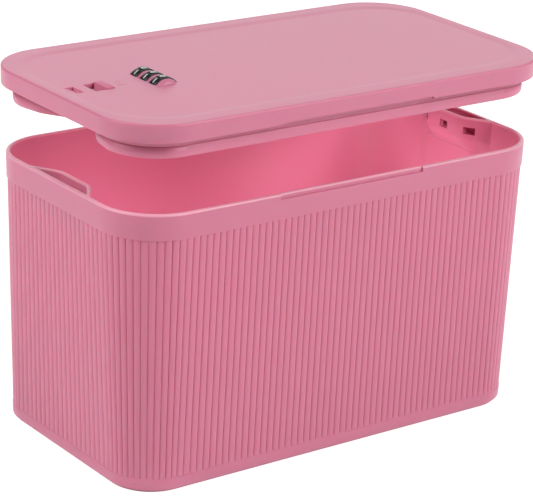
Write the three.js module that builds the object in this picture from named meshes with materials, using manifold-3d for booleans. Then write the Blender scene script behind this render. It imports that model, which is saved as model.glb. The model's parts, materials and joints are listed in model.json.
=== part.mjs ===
import * as THREE from "three";
import { mergeVertices } from "three/addons/utils/BufferGeometryUtils.js";
import Module from "manifold-3d";

// A lockable medicine box: a ribbed tub and a lift-off lid with a three-dial slider lock.
// Millimetres, +Z up, origin at the bottom centre of the tub, +X along the box away from the lock.
const wasm = await Module();
wasm.setup();

// Tub
const tubLength = 320;
const tubWidth = 175;
const tubHeight = 181;
const rimCornerRadius = 38;
const baseLength = 306;
const baseWidth = 168;
const baseCornerRadius = 30;
const rimWall = 2.4;
const baseWall = 3.4;
const floorThickness = 2.2;
const floorFillet = 5;
const bandHeight = 16.5;
const rimRounding = 0.7;
const longRibs = 51;
const shortRibs = 20;
const cornerRibs = 12;
const ribCrestInset = 0.6;
const ribGrooveDepth = 0.8;
const ribGrooveShare = 0.42;
const ribRunOut = 3;
const stripHeight = 9;
const stripInset = 0.3;
const footHeight = 1.4;
const footInset = 2.4;
const footRingWidth = 3.5;
const footRecess = 0.8;
const stripRounding = 1.6;

// Finger notch in the long rims and the matching relief in the skirt
const notchLength = 110;
const notchDepth = 3.5;
const notchWall = 1.2;
const skirtNotchLength = 116;
const skirtNotchHeight = 1.2;
const skirtNotchDepth = 1.6;

// Catch pockets: an inner wall that bows in from each end of the tub
const bowDepth = 11.1;
const bowFlatHalf = 12;
const bowHalf = 38;
const bowWall = 2;
const bowHeight = 15;
const bowSlope = 12;
const pocketWall = 2.9;
const pocketDepth = 13.5;
const slotPitch = 22;
const slotWidth = 7.5;
const slotHeight = 5;
const slotBelowRim = 6.5;

// Lid
const lidOverhang = 3;
const lidCornerRadius = 40;
const lidRaised = 56;
const skirtHeight = 11.5;
const skirtLap = 4;
const lapGap = 0.4;
const ledgeSeat = 1.2;
const skirtDraft = 0.2;
const lidEdgeRounding = 1;
const endBorder = 6;
const sideBorder = 12.3;
const panelCornerRadius = 40;
const panelRecess = 1;
const lidPlate = 2.4;
const plugGap = 1;
const plugDepth = 11.5;
const plugWall = 2.2;
const plugLeadIn = 0.8;
const plugBowClearance = 2.4;
const beadProud = 0.35;
const beadHeight = 1.2;
const beadBelowSkirt = 2.6;
const lidRibHeight = 4;
const lidRibWall = 1.6;
const crossRibs = 3;
const longRibShare = 0.38;
const fixedTongueLength = 2;
const scoopFromEnd = 12;
const scoopLength = 6.5;
const scoopHalfWidth = 6.5;
const scoopDepth = 1.5;

// Dials
const dialCount = 3;
const dialPitch = 10.4;
const dialRadius = 10;
const dialWidth = 6.8;
const lockY = 0;
const dialsFromKnob = 35.5;
const dialExposure = 4.35;
const dialNotchDepth = 0.5;
const dialNotchHalfAngle = 4;
const digitCount = 10;
const guardRadius = 9.2;
const guardHalfLength = 18.2;
const guardThickness = 1.6;

// Code sleeves and the spindle
const sleeveRadius = 4.7;
const splineRadius = 5.6;
const splineLength = 1.5;
const splineGap = 0.35;
const discRadius = 7.2;
const discThickness = 1.2;
const flatHeight = 5.9;
const resetTravel = 1.8;
const spindleRadius = 1.5;
const spindleHeadRadius = 2.6;
const spindleHeadLength = 1;
const clipThickness = 0.6;
const clipRadius = 3.2;
const clipGroove = 0.5;
const spindleTail = 0.8;
const cheekThickness = 2.4;
const cheekHalfWidth = 5;
const cheekBelowAxis = 4;

// Bolt
const boltTravel = 7.5;
const boltThickness = 2;
const boltHalfWidth = 25.7;
const boltBodyLength = 22;
const holdDownY = 14;
const tongueWidth = 6.5;
const tongueThickness = 3.2;
const tongueLap = 1.5;
const fenceTop = 6.6;
const fenceLength = 1.2;
const fenceMargin = 1.6;
const boltBelowDial = 0.55;
const knobLength = 5.6;
const knobHalfWidth = 7.3;
const knobFromEnd = 36.5;
const knobNeckLength = 4.4;
const knobNeckHalfWidth = 5;
const knobProud = 1.4;
const knobUnder = 0.3;
const gripPitch = 1.5;
const gripHalf = 0.45;
const gripDepth = 0.5;
const knobScrewRadius = 1;
const knobScrewLength = 8;
const screwHeadRadius = 2;
const screwHeadHeight = 1.1;
const driveHalf = 0.35;
const driveShare = 0.6;
const driveDepth = 0.6;

// Lock bay, its cover and the small springs
const bayEndGap = 1.2;
const bayHalfWidth = 31;
const bayWall = 1.8;
const railWall = 1.6;
const coverThickness = 1.8;
const coverLip = 1.8;
const coverScrewInset = 4.2;
const bossRadius = 3.2;
const coverScrewRadius = 1.2;
const coverScrewLength = 9;
const coverScrewHeadRadius = 2.4;
const clickScrewLength = 4.5;
const leafThickness = 0.3;
const clickFingerWidth = 4.4;
const clickFlangeLength = 9;
const clickHalfWidth = 14;
const clickBossHeight = 6;
const clickScrewOffset = 9;
const clickNoseHalf = 0.9;
const resetWire = 0.6;
const resetCoilRadius = 2.5;
const resetSpringLength = 5.6;
const resetTurns = 4;
const coilSteps = 10;
const forkThickness = 1.5;
const forkHalfWidth = 4.5;
const leverEnd = 29;
const tabWidth = 5;
const tabFrom = 23;
const tabProud = 1.1;
const boltLeafLength = 16;
const boltLeafWidth = 5;
const boltLeafY = 16;
const boltLeafRise = 0.9;
const boltNotchHalf = 2;
const leafRecess = 0.6;
const leafSeatMargin = 1;
const rivetRadius = 0.8;
const rivetHeadRadius = 1.6;
const rivetHeadHeight = 0.6;
const coverCornerRadius = 3;

// Clearances
const gap = 0.3;
const slideGap = 0.4;
const hole = 0.3;

// Sizes that follow from the ones above
const lidLength = tubLength + 2 * lidOverhang;
const lidWidth = tubWidth + 2 * lidOverhang;
const knobCentreX = knobFromEnd - lidLength / 2;
const dialCentreX = knobCentreX + dialsFromKnob;
const lidTopZ = tubHeight + lidRaised;
const panelZ = -panelRecess;
const plateUnder = panelZ - lidPlate;
const plugBottom = -skirtHeight - plugDepth;
const endFace = tubLength / 2 - rimWall;
const axisZ = panelZ + dialExposure - dialRadius;
const dialYs = Array.from({ length: dialCount }, (_, k) => lockY + dialPitch * ((dialCount - 1) / 2 - k));
const boltTop = axisZ - dialRadius - boltBelowDial;
const boltBottom = boltTop - boltThickness;
const coverTop = boltBottom - gap;
const coverBottom = coverTop - coverThickness;
const discFrom = -dialWidth / 2 - gap - discThickness;
const sleeveTo = discFrom + dialPitch - gap;
const stackTop = dialYs[0] + sleeveTo;
const stackBottom = dialYs[dialCount - 1] + discFrom;
const slotZ = tubHeight - slotBelowRim - slotHeight / 2;
const closedTop = gap + skirtHeight - skirtLap;
const tongueZ = slotZ - tubHeight - closedTop;
const fenceX = dialCentreX + Math.sqrt(discRadius ** 2 - fenceTop ** 2) + gap;
const knobScrewSeat = boltBottom + screwHeadHeight - gap;
const slotYs = [-slotPitch, 0, slotPitch];
const leafX = knobCentreX - boltTravel / 2 + boltLeafLength / 4;
const rivetX = leafX + boltLeafLength / 2;

// How far the catch wall bows in at a place across the box
function bowAt(y) {
  const share = THREE.MathUtils.clamp((Math.abs(y) - bowFlatHalf) / (bowHalf - bowFlatHalf), 0, 1);
  return (bowDepth * (1 + Math.cos(Math.PI * share))) / 2;
}

const plugEnd = endFace - plugGap;
const plugFaceX = (y) => endFace - bowAt(y) - bowWall / 2 - plugBowClearance;
const plugBow = (y) => Math.max(0, plugEnd - plugFaceX(y));
const bayLeft = plugWall + bayEndGap - plugFaceX(0);
const boltBodyLeft = bayLeft + bayEndGap + boltTravel;
const tongueLow = tongueZ - tongueThickness / 2;
const tongueHigh = tongueZ + tongueThickness / 2;
const clickBossX = dialCentreX + dialRadius + clickFlangeLength;
const bayRight = clickBossX + bossRadius + bayEndGap;

const boreSides = 12;
const sleeveSides = 24;
const dialSides = 40;

// Solids from geometries, and back
function solid(geometry) {
  const bare = geometry.index ? geometry.toNonIndexed() : geometry.clone();
  bare.deleteAttribute("normal");
  bare.deleteAttribute("uv");
  const merged = mergeVertices(bare, 1e-4);
  return new wasm.Manifold(
    new wasm.Mesh({
      numProp: 3,
      vertProperties: new Float32Array(merged.attributes.position.array),
      triVerts: new Uint32Array(merged.index.array),
    }),
  );
}

function geometryOf(body) {
  const mesh = body.getMesh();
  const geometry = new THREE.BufferGeometry();
  const stride = mesh.numProp;
  const count = mesh.vertProperties.length / stride;
  const points = new Float32Array(count * 3);
  for (let i = 0; i < count; i += 1) {
    for (let k = 0; k < 3; k += 1) points[3 * i + k] = mesh.vertProperties[stride * i + k];
  }
  geometry.setAttribute("position", new THREE.BufferAttribute(points, 3));
  geometry.setIndex(new THREE.BufferAttribute(new Uint32Array(mesh.triVerts), 1));
  geometry.computeVertexNormals();
  return geometry;
}

const join = (first, ...rest) => rest.reduce((sum, body) => sum.add(body), first);
const cut = (first, ...rest) => rest.reduce((left, body) => left.subtract(body), first);

function box(x0, x1, y0, y1, z0, z1) {
  const geometry = new THREE.BoxGeometry(x1 - x0, y1 - y0, z1 - z0);
  return solid(geometry.translate((x0 + x1) / 2, (y0 + y1) / 2, (z0 + z1) / 2));
}

// A round bar along Y on the dials' axis
function rodY(radius, y0, y1, sides = sleeveSides) {
  const geometry = new THREE.CylinderGeometry(radius, radius, y1 - y0, sides);
  return solid(geometry.translate(dialCentreX, (y0 + y1) / 2, axisZ));
}

function rodZ(radius, z0, z1, x, y, sides = 16) {
  const geometry = new THREE.CylinderGeometry(radius, radius, z1 - z0, sides);
  return solid(geometry.rotateX(Math.PI / 2).translate(x, y, (z0 + z1) / 2));
}

// An outline of [x, y] points swept straight up from z0 to z1
function prism(points, z0, z1) {
  return loft([z0, z1].map((z) => points.map(([x, y]) => [x, y, z])));
}

// An outline of [x, z] points swept along Y
function prismY(points, y0, y1) {
  const shape = new THREE.Shape(points.map(([x, z]) => new THREE.Vector2(x, z)));
  const geometry = new THREE.ExtrudeGeometry(shape, { depth: y1 - y0, bevelEnabled: false });
  return solid(geometry.rotateX(Math.PI / 2).translate(0, y1, 0));
}

// A closed solid through rings of equally many points, each ring counter-clockwise seen from above
function loft(rings) {
  const count = rings[0].length;
  const points = rings.flat(2);
  const index = [];
  for (let r = 0; r + 1 < rings.length; r += 1) {
    for (let i = 0; i < count; i += 1) {
      const a = r * count + i;
      const b = r * count + ((i + 1) % count);
      index.push(a, b, b + count, a, b + count, a + count);
    }
  }
  const cap = (ring) => THREE.ShapeUtils.triangulateShape(ring.map(([x, y]) => new THREE.Vector2(x, y)), []);
  for (const [a, b, c] of cap(rings[0])) index.push(c, b, a);
  const top = (rings.length - 1) * count;
  for (const [a, b, c] of cap(rings[rings.length - 1])) index.push(top + a, top + b, top + c);
  const geometry = new THREE.BufferGeometry();
  geometry.setAttribute("position", new THREE.Float32BufferAttribute(points, 3));
  geometry.setIndex(index);
  return solid(geometry);
}

// A point on a rounded rectangle, moved inwards by an inset. Sides are counted from the front one
// round to the left one, and along runs from 0 to 1 on the side's straight and on to 2 round its corner
function onOutline({ halfLength, halfWidth, radius }, side, along, inset) {
  const [reach, depth] = side % 2 ? [halfWidth, halfLength] : [halfLength, halfWidth];
  let x = (2 * along - 1) * (reach - radius);
  let y = inset - depth;
  if (along > 1) {
    const angle = ((along - 2) * Math.PI) / 2;
    x = reach - radius + (radius - inset) * Math.cos(angle);
    y = radius - depth + (radius - inset) * Math.sin(angle);
  }
  return [[x, y], [-y, x], [-x, -y], [y, -x]][side];
}

// A rounded rectangle as points, with an optional bow that draws both short sides in
const cornerSteps = 8;
const bowSteps = 12;
function ring(halfLength, halfWidth, radius, z, bow = null) {
  const points = [];
  const centreX = halfLength - radius;
  const centreY = halfWidth - radius;
  for (const [sideX, sideY, start] of [[1, -1, -90], [1, 1, 0], [-1, 1, 90], [-1, -1, 180]]) {
    for (let k = 0; k <= cornerSteps; k += 1) {
      const angle = THREE.MathUtils.degToRad(start + (90 * k) / cornerSteps);
      const x = sideX * centreX + radius * Math.cos(angle);
      points.push([x, sideY * centreY + radius * Math.sin(angle), z]);
    }
    if (bow && start !== 0 && start !== 180) {
      for (let k = 1; k < bowSteps; k += 1) {
        const y = sideX * Math.min(bowHalf, centreY - gap) * ((2 * k) / bowSteps - 1);
        points.push([sideX * (halfLength - bow(y)), y, z]);
      }
    }
  }
  return points;
}

// Tub

function tubOutline(z) {
  const share = z / tubHeight;
  return {
    halfLength: THREE.MathUtils.lerp(baseLength, tubLength, share) / 2,
    halfWidth: THREE.MathUtils.lerp(baseWidth, tubWidth, share) / 2,
    radius: THREE.MathUtils.lerp(baseCornerRadius, rimCornerRadius, share),
  };
}

function tubRing(z, inset) {
  const { halfLength, halfWidth, radius } = tubOutline(z);
  return ring(halfLength - inset, halfWidth - inset, radius - inset, z);
}

// The reeded wall: every rib has a broad crest and a narrow groove
function reededWall() {
  const steps = [[0, 1], [ribGrooveShare / 2, 0], [1 - ribGrooveShare / 2, 0]];
  const reedRing = (z, depth) => {
    const points = [];
    for (let side = 0; side < 4; side += 1) {
      const straight = side % 2 ? shortRibs : longRibs;
      for (let k = 0; k < straight + cornerRibs; k += 1) {
        for (const [share, low] of steps) {
          const along = k < straight ? (k + share) / straight : 1 + (k - straight + share) / cornerRibs;
          points.push([...onOutline(tubOutline(z), side, along, ribCrestInset + low * depth), z]);
        }
      }
    }
    return points;
  };
  return loft([
    reedRing(stripHeight - 1, 0),
    reedRing(stripHeight, 0),
    reedRing(stripHeight + ribRunOut, ribGrooveDepth),
    reedRing(tubHeight - bandHeight, ribGrooveDepth),
    reedRing(tubHeight - bandHeight + 1, ribGrooveDepth),
  ]);
}

function catchPocket(side) {
  const ys = Array.from({ length: 2 * bowSteps + 1 }, (_, k) => bowHalf * (k / bowSteps - 1));
  const bulgeRing = (z, share) => {
    const face = tubOutline(z).halfLength - rimWall;
    const front = ys.map((y) => [face - share * (bowAt(y) + bowWall / 2) + (1 - share) * gap, y, z]);
    const back = [[face + rimWall / 2, bowHalf, z], [face + rimWall / 2, -bowHalf, z]];
    const points = [...back, ...front];
    return side > 0 ? points.reverse() : points.map(([x, y]) => [-x, y, z]);
  };
  const bulge = loft([
    bulgeRing(tubHeight - bowHeight - bowSlope, 0),
    bulgeRing(tubHeight - bowHeight, 1),
    bulgeRing(tubHeight, 1),
  ]);
  const back = tubLength / 2 - pocketWall;
  const open = ys.filter((y) => back - (endFace - bowAt(y) + bowWall / 2) > gap);
  const outline = [
    ...open.map((y) => [endFace - bowAt(y) + bowWall / 2, y]),
    [back, open[open.length - 1]],
    [back, open[0]],
  ];
  const facing = side > 0 ? outline.reverse() : outline.map(([x, y]) => [-x, y]);
  const pocket = prism(facing, tubHeight - pocketDepth, tubHeight + 1);
  const slotFrom = endFace - bowDepth - bowWall;
  const slotTo = endFace - bowAt(slotPitch + slotWidth / 2) + bowWall / 2 + gap;
  const slots = slotYs.map((y) => {
    const [near, far] = side > 0 ? [slotFrom, slotTo] : [-slotTo, -slotFrom];
    const [low, high] = [slotZ - slotHeight / 2, slotZ + slotHeight / 2];
    return box(near, far, y - slotWidth / 2, y + slotWidth / 2, low, high);
  });
  return { bulge, voids: [pocket, ...slots] };
}

function tub() {
  const foot = loft([
    tubRing(0, footInset + gap),
    tubRing(gap, footInset),
    tubRing(footHeight + 1, footInset),
  ]);
  const strip = loft([
    tubRing(footHeight, stripInset + stripRounding),
    tubRing(footHeight + 0.3 * stripRounding, stripInset + 0.3 * stripRounding),
    tubRing(footHeight + stripRounding, stripInset),
    tubRing(stripHeight, stripInset),
  ]);
  const band = loft([
    tubRing(tubHeight - bandHeight, 0),
    tubRing(tubHeight - rimRounding, 0),
    tubRing(tubHeight, rimRounding),
  ]);
  const floorZ = footRecess + floorThickness;
  const cavity = loft([
    tubRing(floorZ, baseWall + floorFillet),
    tubRing(floorZ + 0.3 * floorFillet, baseWall + 0.3 * floorFillet),
    tubRing(floorZ + floorFillet, baseWall),
    tubRing(tubHeight, rimWall),
    tubRing(tubHeight + 1, rimWall),
  ]);
  const ringInset = footInset + footRingWidth;
  const footHollow = loft([tubRing(-1, ringInset), tubRing(footRecess, ringInset)]);
  const half = notchLength / 2;
  const ledge = tubHeight - notchDepth;
  const lip = tubWidth / 2 - notchWall;
  const notches = [-1, 1].map((side) => {
    const across = side > 0 ? [lip, tubWidth / 2 + 1] : [-tubWidth / 2 - 1, -lip];
    return box(-half, half, ...across, ledge, tubHeight + 1);
  });
  const pockets = [catchPocket(-1), catchPocket(1)];
  const shell = cut(join(foot, strip, reededWall(), band), cavity, footHollow);
  return cut(join(shell, ...pockets.map((p) => p.bulge)), ...pockets.flatMap((p) => p.voids), ...notches);
}

// Lid, in its own frame with z = 0 at the top of the border

function lidRing(z, inset) {
  return ring(lidLength / 2 - inset, lidWidth / 2 - inset, lidCornerRadius - inset, z);
}

// A ring that keeps a distance from the tub's rim: outwards where the distance is negative
function rimRing(z, inset, bow = null) {
  return ring(tubLength / 2 - inset, tubWidth / 2 - inset, rimCornerRadius - inset, z, bow);
}

// A tongue seen from above, from its root to an end that keeps a distance from the plug's bowed face
function tongue(side, y, root, reach) {
  const ends = [-1, 0, 1].map((k) => {
    const across = y + (k * tongueWidth) / 2;
    return [plugFaceX(Math.min(Math.abs(across), slotPitch)) + reach, across];
  });
  const outline = [[root, ends[0][1]], ...ends, [root, ends[2][1]]];
  const facing = side > 0 ? outline : outline.map(([x, across]) => [-x, across]).reverse();
  return prism(facing, tongueLow, tongueHigh);
}

function plug() {
  const face = rimWall + plugGap;
  const outside = loft([
    rimRing(plugBottom, face + plugLeadIn, plugBow),
    rimRing(plugBottom + 2 * plugLeadIn, face, plugBow),
    rimRing(plateUnder + gap, face, plugBow),
  ]);
  const inside = loft([
    rimRing(plugBottom - 1, face + plugWall, plugBow),
    rimRing(plateUnder, face + plugWall, plugBow),
  ]);
  const beadTop = -skirtHeight - beadBelowSkirt;
  const bead = loft([
    rimRing(beadTop - beadHeight, face + gap, plugBow),
    rimRing(beadTop - beadHeight * 0.7, face - beadProud, plugBow),
    rimRing(beadTop - beadHeight * 0.3, face - beadProud, plugBow),
    rimRing(beadTop, face + gap, plugBow),
  ]);
  return cut(join(outside, bead), inside);
}

function lidRibs() {
  const low = plateUnder - lidRibHeight;
  const right = plugEnd - plugWall / 2;
  const wide = tubWidth / 2 - rimWall - plugGap - plugWall / 2;
  const left = bayRight + bayWall;
  const along = [-1, 1].map((side) => {
    const y = side * wide * longRibShare;
    return box(left, right - bowDepth, y - lidRibWall / 2, y + lidRibWall / 2, low, plateUnder + gap);
  });
  const across = Array.from({ length: crossRibs }, (_, k) => {
    const x = left + ((k + 1) * (right - bowDepth - left)) / (crossRibs + 1);
    return box(x - lidRibWall / 2, x + lidRibWall / 2, -wide, wide, low, plateUnder + gap);
  });
  return [...along, ...across];
}

// The walls, rails, bosses and bearing cheeks that hold the lock
const screwSpots = [-1, 1].flatMap((side) => {
  const beside = side * (boltHalfWidth + slideGap + bossRadius);
  return [[bayLeft + bayWall + coverScrewInset, beside], [bayRight - coverScrewInset, beside - side * gap]];
});
const cheekSpans = [
  [stackTop + gap + forkThickness + gap, stackTop + gap + forkThickness + gap + cheekThickness],
  [
    stackBottom - gap - resetSpringLength - gap - cheekThickness,
    stackBottom - gap - resetSpringLength - gap,
  ],
];

function lockBay() {
  const low = coverTop + gap;
  const high = plateUnder + gap;
  const outer = bayHalfWidth + bayWall;
  const walls = cut(
    box(bayLeft - bayWall, bayRight + bayWall, -outer, outer, low, high),
    box(bayLeft - 2 * bayWall, bayRight, -bayHalfWidth, bayHalfWidth, low - 1, high + 1),
  );
  const railRight = boltBodyLeft + boltBodyLength + gap;
  const railIn = boltHalfWidth + slideGap;
  const rails = [-1, 1].map((side) => {
    const across = side > 0 ? [railIn, railIn + railWall] : [-railIn - railWall, -railIn];
    return box(bayLeft, railRight, ...across, low, high);
  });
  const holdDowns = [-1, 1].map((side) => {
    const y = side * holdDownY;
    return box(bayLeft - 1, railRight, y - railWall / 2, y + railWall / 2, boltTop + gap, high);
  });
  const bosses = screwSpots.map(([x, y]) => rodZ(bossRadius, low, high, x, y));
  const clickBosses = [-1, 1].map((side) =>
    rodZ(bossRadius, plateUnder - clickBossHeight, high, clickBossX, lockY + side * clickScrewOffset),
  );
  const cheeks = cheekSpans.map(([y0, y1]) =>
    box(dialCentreX - cheekHalfWidth, dialCentreX + cheekHalfWidth, y0, y1, axisZ - cheekBelowAxis, high),
  );
  return join(walls, ...rails, ...holdDowns, ...bosses, ...clickBosses, ...cheeks);
}

function dialGuard() {
  const dome = rodY(guardRadius, lockY - guardHalfLength, lockY + guardHalfLength, dialSides);
  const above = box(
    dialCentreX - guardRadius - 1,
    dialCentreX + guardRadius + 1,
    lockY - guardHalfLength - 1,
    lockY + guardHalfLength + 1,
    plateUnder + gap,
    axisZ + guardRadius + 1,
  );
  return dome.intersect(above);
}

function lidVoids() {
  const windows = dialYs.map((y) =>
    rodY(dialRadius + slideGap, y - dialWidth / 2 - gap, y + dialWidth / 2 + gap, dialSides),
  );
  const discSpace = rodY(
    guardRadius - guardThickness,
    stackBottom - resetTravel - gap,
    dialYs[0] + dialWidth / 2,
    dialSides,
  );
  const sleeveSpace = rodY(sleeveRadius + slideGap, lockY, stackTop + gap);
  const bearings = cheekSpans.map(([y0, y1]) => {
    const radius = spindleRadius + hole;
    const below = axisZ - cheekBelowAxis - 1;
    const seat = rodY(radius, y0 - 1, y1 + 1, boreSides);
    const mouth = box(dialCentreX - radius, dialCentreX + radius, y0 - 1, y1 + 1, below, axisZ);
    return join(seat, mouth);
  });
  const knobWindow = box(
    knobCentreX - knobLength / 2 - gap - boltTravel,
    knobCentreX + knobLength / 2 + gap,
    lockY - knobHalfWidth - slideGap,
    lockY + knobHalfWidth + slideGap,
    plateUnder - 1,
    1,
  );
  const scoopLeft = scoopFromEnd - lidLength / 2;
  const scoopRight = scoopLeft + scoopLength;
  const scoop = prismY(
    [[scoopLeft, panelZ + gap], [scoopRight, panelZ - scoopDepth], [scoopRight, panelZ + gap]],
    lockY - scoopHalfWidth,
    lockY + scoopHalfWidth,
  );
  const pilots = screwSpots.map(([x, y]) =>
    rodZ(coverScrewRadius + hole, coverTop - 1, coverTop + coverScrewLength, x, y, boreSides),
  );
  const clickPilots = [-1, 1].map((side) => {
    const low = plateUnder - clickBossHeight;
    const y = lockY + side * clickScrewOffset;
    return rodZ(knobScrewRadius + hole, low - 1, low + clickBossHeight - 1, clickBossX, y, boreSides);
  });
  const tongueWindows = slotYs.map((y) =>
    box(
      -plugEnd,
      bayLeft + bayWall,
      y - tongueWidth / 2 - slideGap,
      y + tongueWidth / 2 + slideGap,
      tongueLow - slideGap,
      tongueHigh + slideGap,
    ),
  );
  return [
    ...windows,
    discSpace,
    sleeveSpace,
    ...bearings,
    knobWindow,
    scoop,
    ...pilots,
    ...clickPilots,
    ...tongueWindows,
  ];
}

function lid() {
  const block = loft([
    lidRing(-skirtHeight, skirtDraft),
    lidRing(-lidEdgeRounding, 0),
    lidRing(-0.3 * lidEdgeRounding, 0.3 * lidEdgeRounding),
    lidRing(0, lidEdgeRounding),
  ]);
  const panelRing = (z, inset) => {
    const [halfLength, halfWidth] = [lidLength / 2 - endBorder - inset, lidWidth / 2 - sideBorder - inset];
    return ring(halfLength, halfWidth, panelCornerRadius - inset, z);
  };
  const panel = loft([panelRing(panelZ, panelRecess / 2), panelRing(-panelZ, -panelRecess / 2)]);
  const hollow = loft([rimRing(-skirtHeight - 1, ledgeSeat), rimRing(plateUnder, ledgeSeat)]);
  const lap = loft([rimRing(-skirtHeight - 1, -lapGap), rimRing(skirtLap - skirtHeight, -lapGap)]);
  const half = skirtNotchLength / 2;
  const reliefs = [-1, 1].map((side) => {
    const across = [lidWidth / 2 - skirtNotchDepth, lidWidth / 2 + 1];
    const [y0, y1] = side > 0 ? across : [-across[1], -across[0]];
    return box(-half, half, y0, y1, -skirtHeight - 1, -skirtHeight + skirtNotchHeight);
  });
  const tongues = slotYs.map((y) => tongue(1, y, plugFaceX(y) - plugWall / 2, fixedTongueLength));
  const shell = cut(block, panel, hollow, lap, ...reliefs);
  const whole = join(shell, plug(), ...lidRibs(), lockBay(), dialGuard(), ...tongues);
  return cut(whole, ...lidVoids());
}

// Dials and code sleeves, each made at its own place across the lock

// A star outline in the XZ plane that the spline and its socket share, about the dial's axis
function splineOutline(inner, outer) {
  const points = [];
  for (let k = 0; k < digitCount; k += 1) {
    for (const [share, radius] of [[0.1, outer], [0.4, outer], [0.6, inner], [0.9, inner]]) {
      const angle = ((k + share) / digitCount) * 2 * Math.PI;
      points.push([dialCentreX + radius * Math.cos(angle), axisZ + radius * Math.sin(angle)]);
    }
  }
  return points;
}

function numberDial(y) {
  const outline = [];
  const arcSteps = 4;
  const notch = THREE.MathUtils.degToRad(dialNotchHalfAngle);
  const pitch = (2 * Math.PI) / digitCount;
  const at = (angle, radius) => [dialCentreX + radius * Math.cos(angle), axisZ + radius * Math.sin(angle)];
  for (let k = 0; k < digitCount; k += 1) {
    outline.push(at(k * pitch, dialRadius - dialNotchDepth));
    for (let step = 0; step <= arcSteps; step += 1) {
      outline.push(at(k * pitch + notch + ((pitch - 2 * notch) * step) / arcSteps, dialRadius));
    }
  }
  const [back, front] = [y - dialWidth / 2, y + dialWidth / 2];
  const bore = rodY(sleeveRadius + gap, back - 1, front + 1);
  const teeth = splineOutline(sleeveRadius + gap, splineRadius + splineGap);
  const socket = prismY(teeth, back - 1, back + splineLength);
  return cut(prismY(outline, back, front), bore, socket);
}

function codeSleeve(y) {
  const tube = rodY(sleeveRadius, y + discFrom, y + sleeveTo);
  const disc = rodY(discRadius, y + discFrom, y + discFrom + discThickness, dialSides);
  const splineTo = y + discFrom + discThickness + splineLength;
  const spline = prismY(splineOutline(sleeveRadius, splineRadius), y + discFrom, splineTo);
  const flat = box(
    dialCentreX - dialRadius,
    dialCentreX + dialRadius,
    y + discFrom - 1,
    y + discFrom + discThickness + gap / 2,
    axisZ - dialRadius,
    axisZ - flatHeight,
  );
  const bore = rodY(spindleRadius + hole, y + discFrom - 1, y + sleeveTo + 1, boreSides);
  return cut(join(tube, disc, spline), flat, bore);
}

// Spindle, its clip and the spring that brings the sleeves back

const grooveTo = cheekSpans[1][0] - gap;
const grooveFrom = grooveTo - 2 * clipThickness;
const spindleTo = cheekSpans[0][1] + gap;

function dialSpindle() {
  const pin = rodY(spindleRadius, grooveFrom - spindleTail, spindleTo, boreSides);
  const head = rodY(spindleHeadRadius, spindleTo, spindleTo + spindleHeadLength, boreSides);
  const groove = cut(
    rodY(spindleRadius + 1, grooveFrom, grooveTo, boreSides),
    rodY(spindleRadius - clipGroove, grooveFrom - 1, grooveTo + 1, boreSides),
  );
  return cut(join(pin, head), groove);
}

function spindleClip() {
  const to = grooveTo - clipThickness / 2;
  const from = to - clipThickness;
  const innerRadius = spindleRadius - clipGroove + gap / 2;
  const below = axisZ - 2 * clipRadius;
  const plate = rodY(clipRadius, from, to);
  const bore = rodY(innerRadius, from - 1, to + 1, boreSides);
  const mouth = box(dialCentreX - innerRadius, dialCentreX + innerRadius, from - 1, to + 1, below, axisZ);
  return cut(plate, bore, mouth);
}

class Coil extends THREE.Curve {
  constructor(radius, length, turns) {
    super();
    Object.assign(this, { radius, length, turns });
  }
  getPoint(t, target = new THREE.Vector3()) {
    const angle = 2 * Math.PI * this.turns * t;
    return target.set(this.radius * Math.cos(angle), this.length * t, this.radius * Math.sin(angle));
  }
}

function resetSpring() {
  const wire = new THREE.Shape();
  wire.absarc(0, 0, resetWire / 2, 0, 2 * Math.PI);
  const path = new Coil(resetCoilRadius, resetSpringLength - resetWire, resetTurns);
  const steps = coilSteps * resetTurns;
  const geometry = new THREE.ExtrudeGeometry(wire, { curveSegments: 4, steps, extrudePath: path });
  const from = stackBottom - gap - resetSpringLength + resetWire / 2;
  return solid(geometry.translate(dialCentreX, from, axisZ));
}

// The reset lever lies beside the bolt: a fork behind the sleeves and a tab through the cover
function resetLever() {
  const from = stackTop + gap;
  const low = boltBottom;
  const base = box(dialCentreX - forkHalfWidth, dialCentreX + forkHalfWidth, from, leverEnd, low, boltTop);
  const fork = box(
    dialCentreX - forkHalfWidth,
    dialCentreX + forkHalfWidth,
    from,
    from + forkThickness,
    low,
    plateUnder - gap,
  );
  const radius = spindleRadius + hole;
  const slot = box(
    dialCentreX - radius,
    dialCentreX + radius,
    from - 1,
    from + forkThickness + 1,
    axisZ - radius,
    0,
  );
  const tab = box(
    dialCentreX - tabWidth / 2,
    dialCentreX + tabWidth / 2,
    tabFrom,
    tabFrom + tabWidth,
    coverBottom - tabProud,
    boltTop,
  );
  const postSlot = box(
    dialCentreX - spindleRadius - slideGap,
    dialCentreX + spindleRadius + slideGap,
    cheekSpans[0][0],
    cheekSpans[0][1] + resetTravel,
    low - 1,
    boltTop + 1,
  );
  return cut(join(base, fork, tab), slot, postSlot);
}

// Bolt, knob and screws

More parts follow.
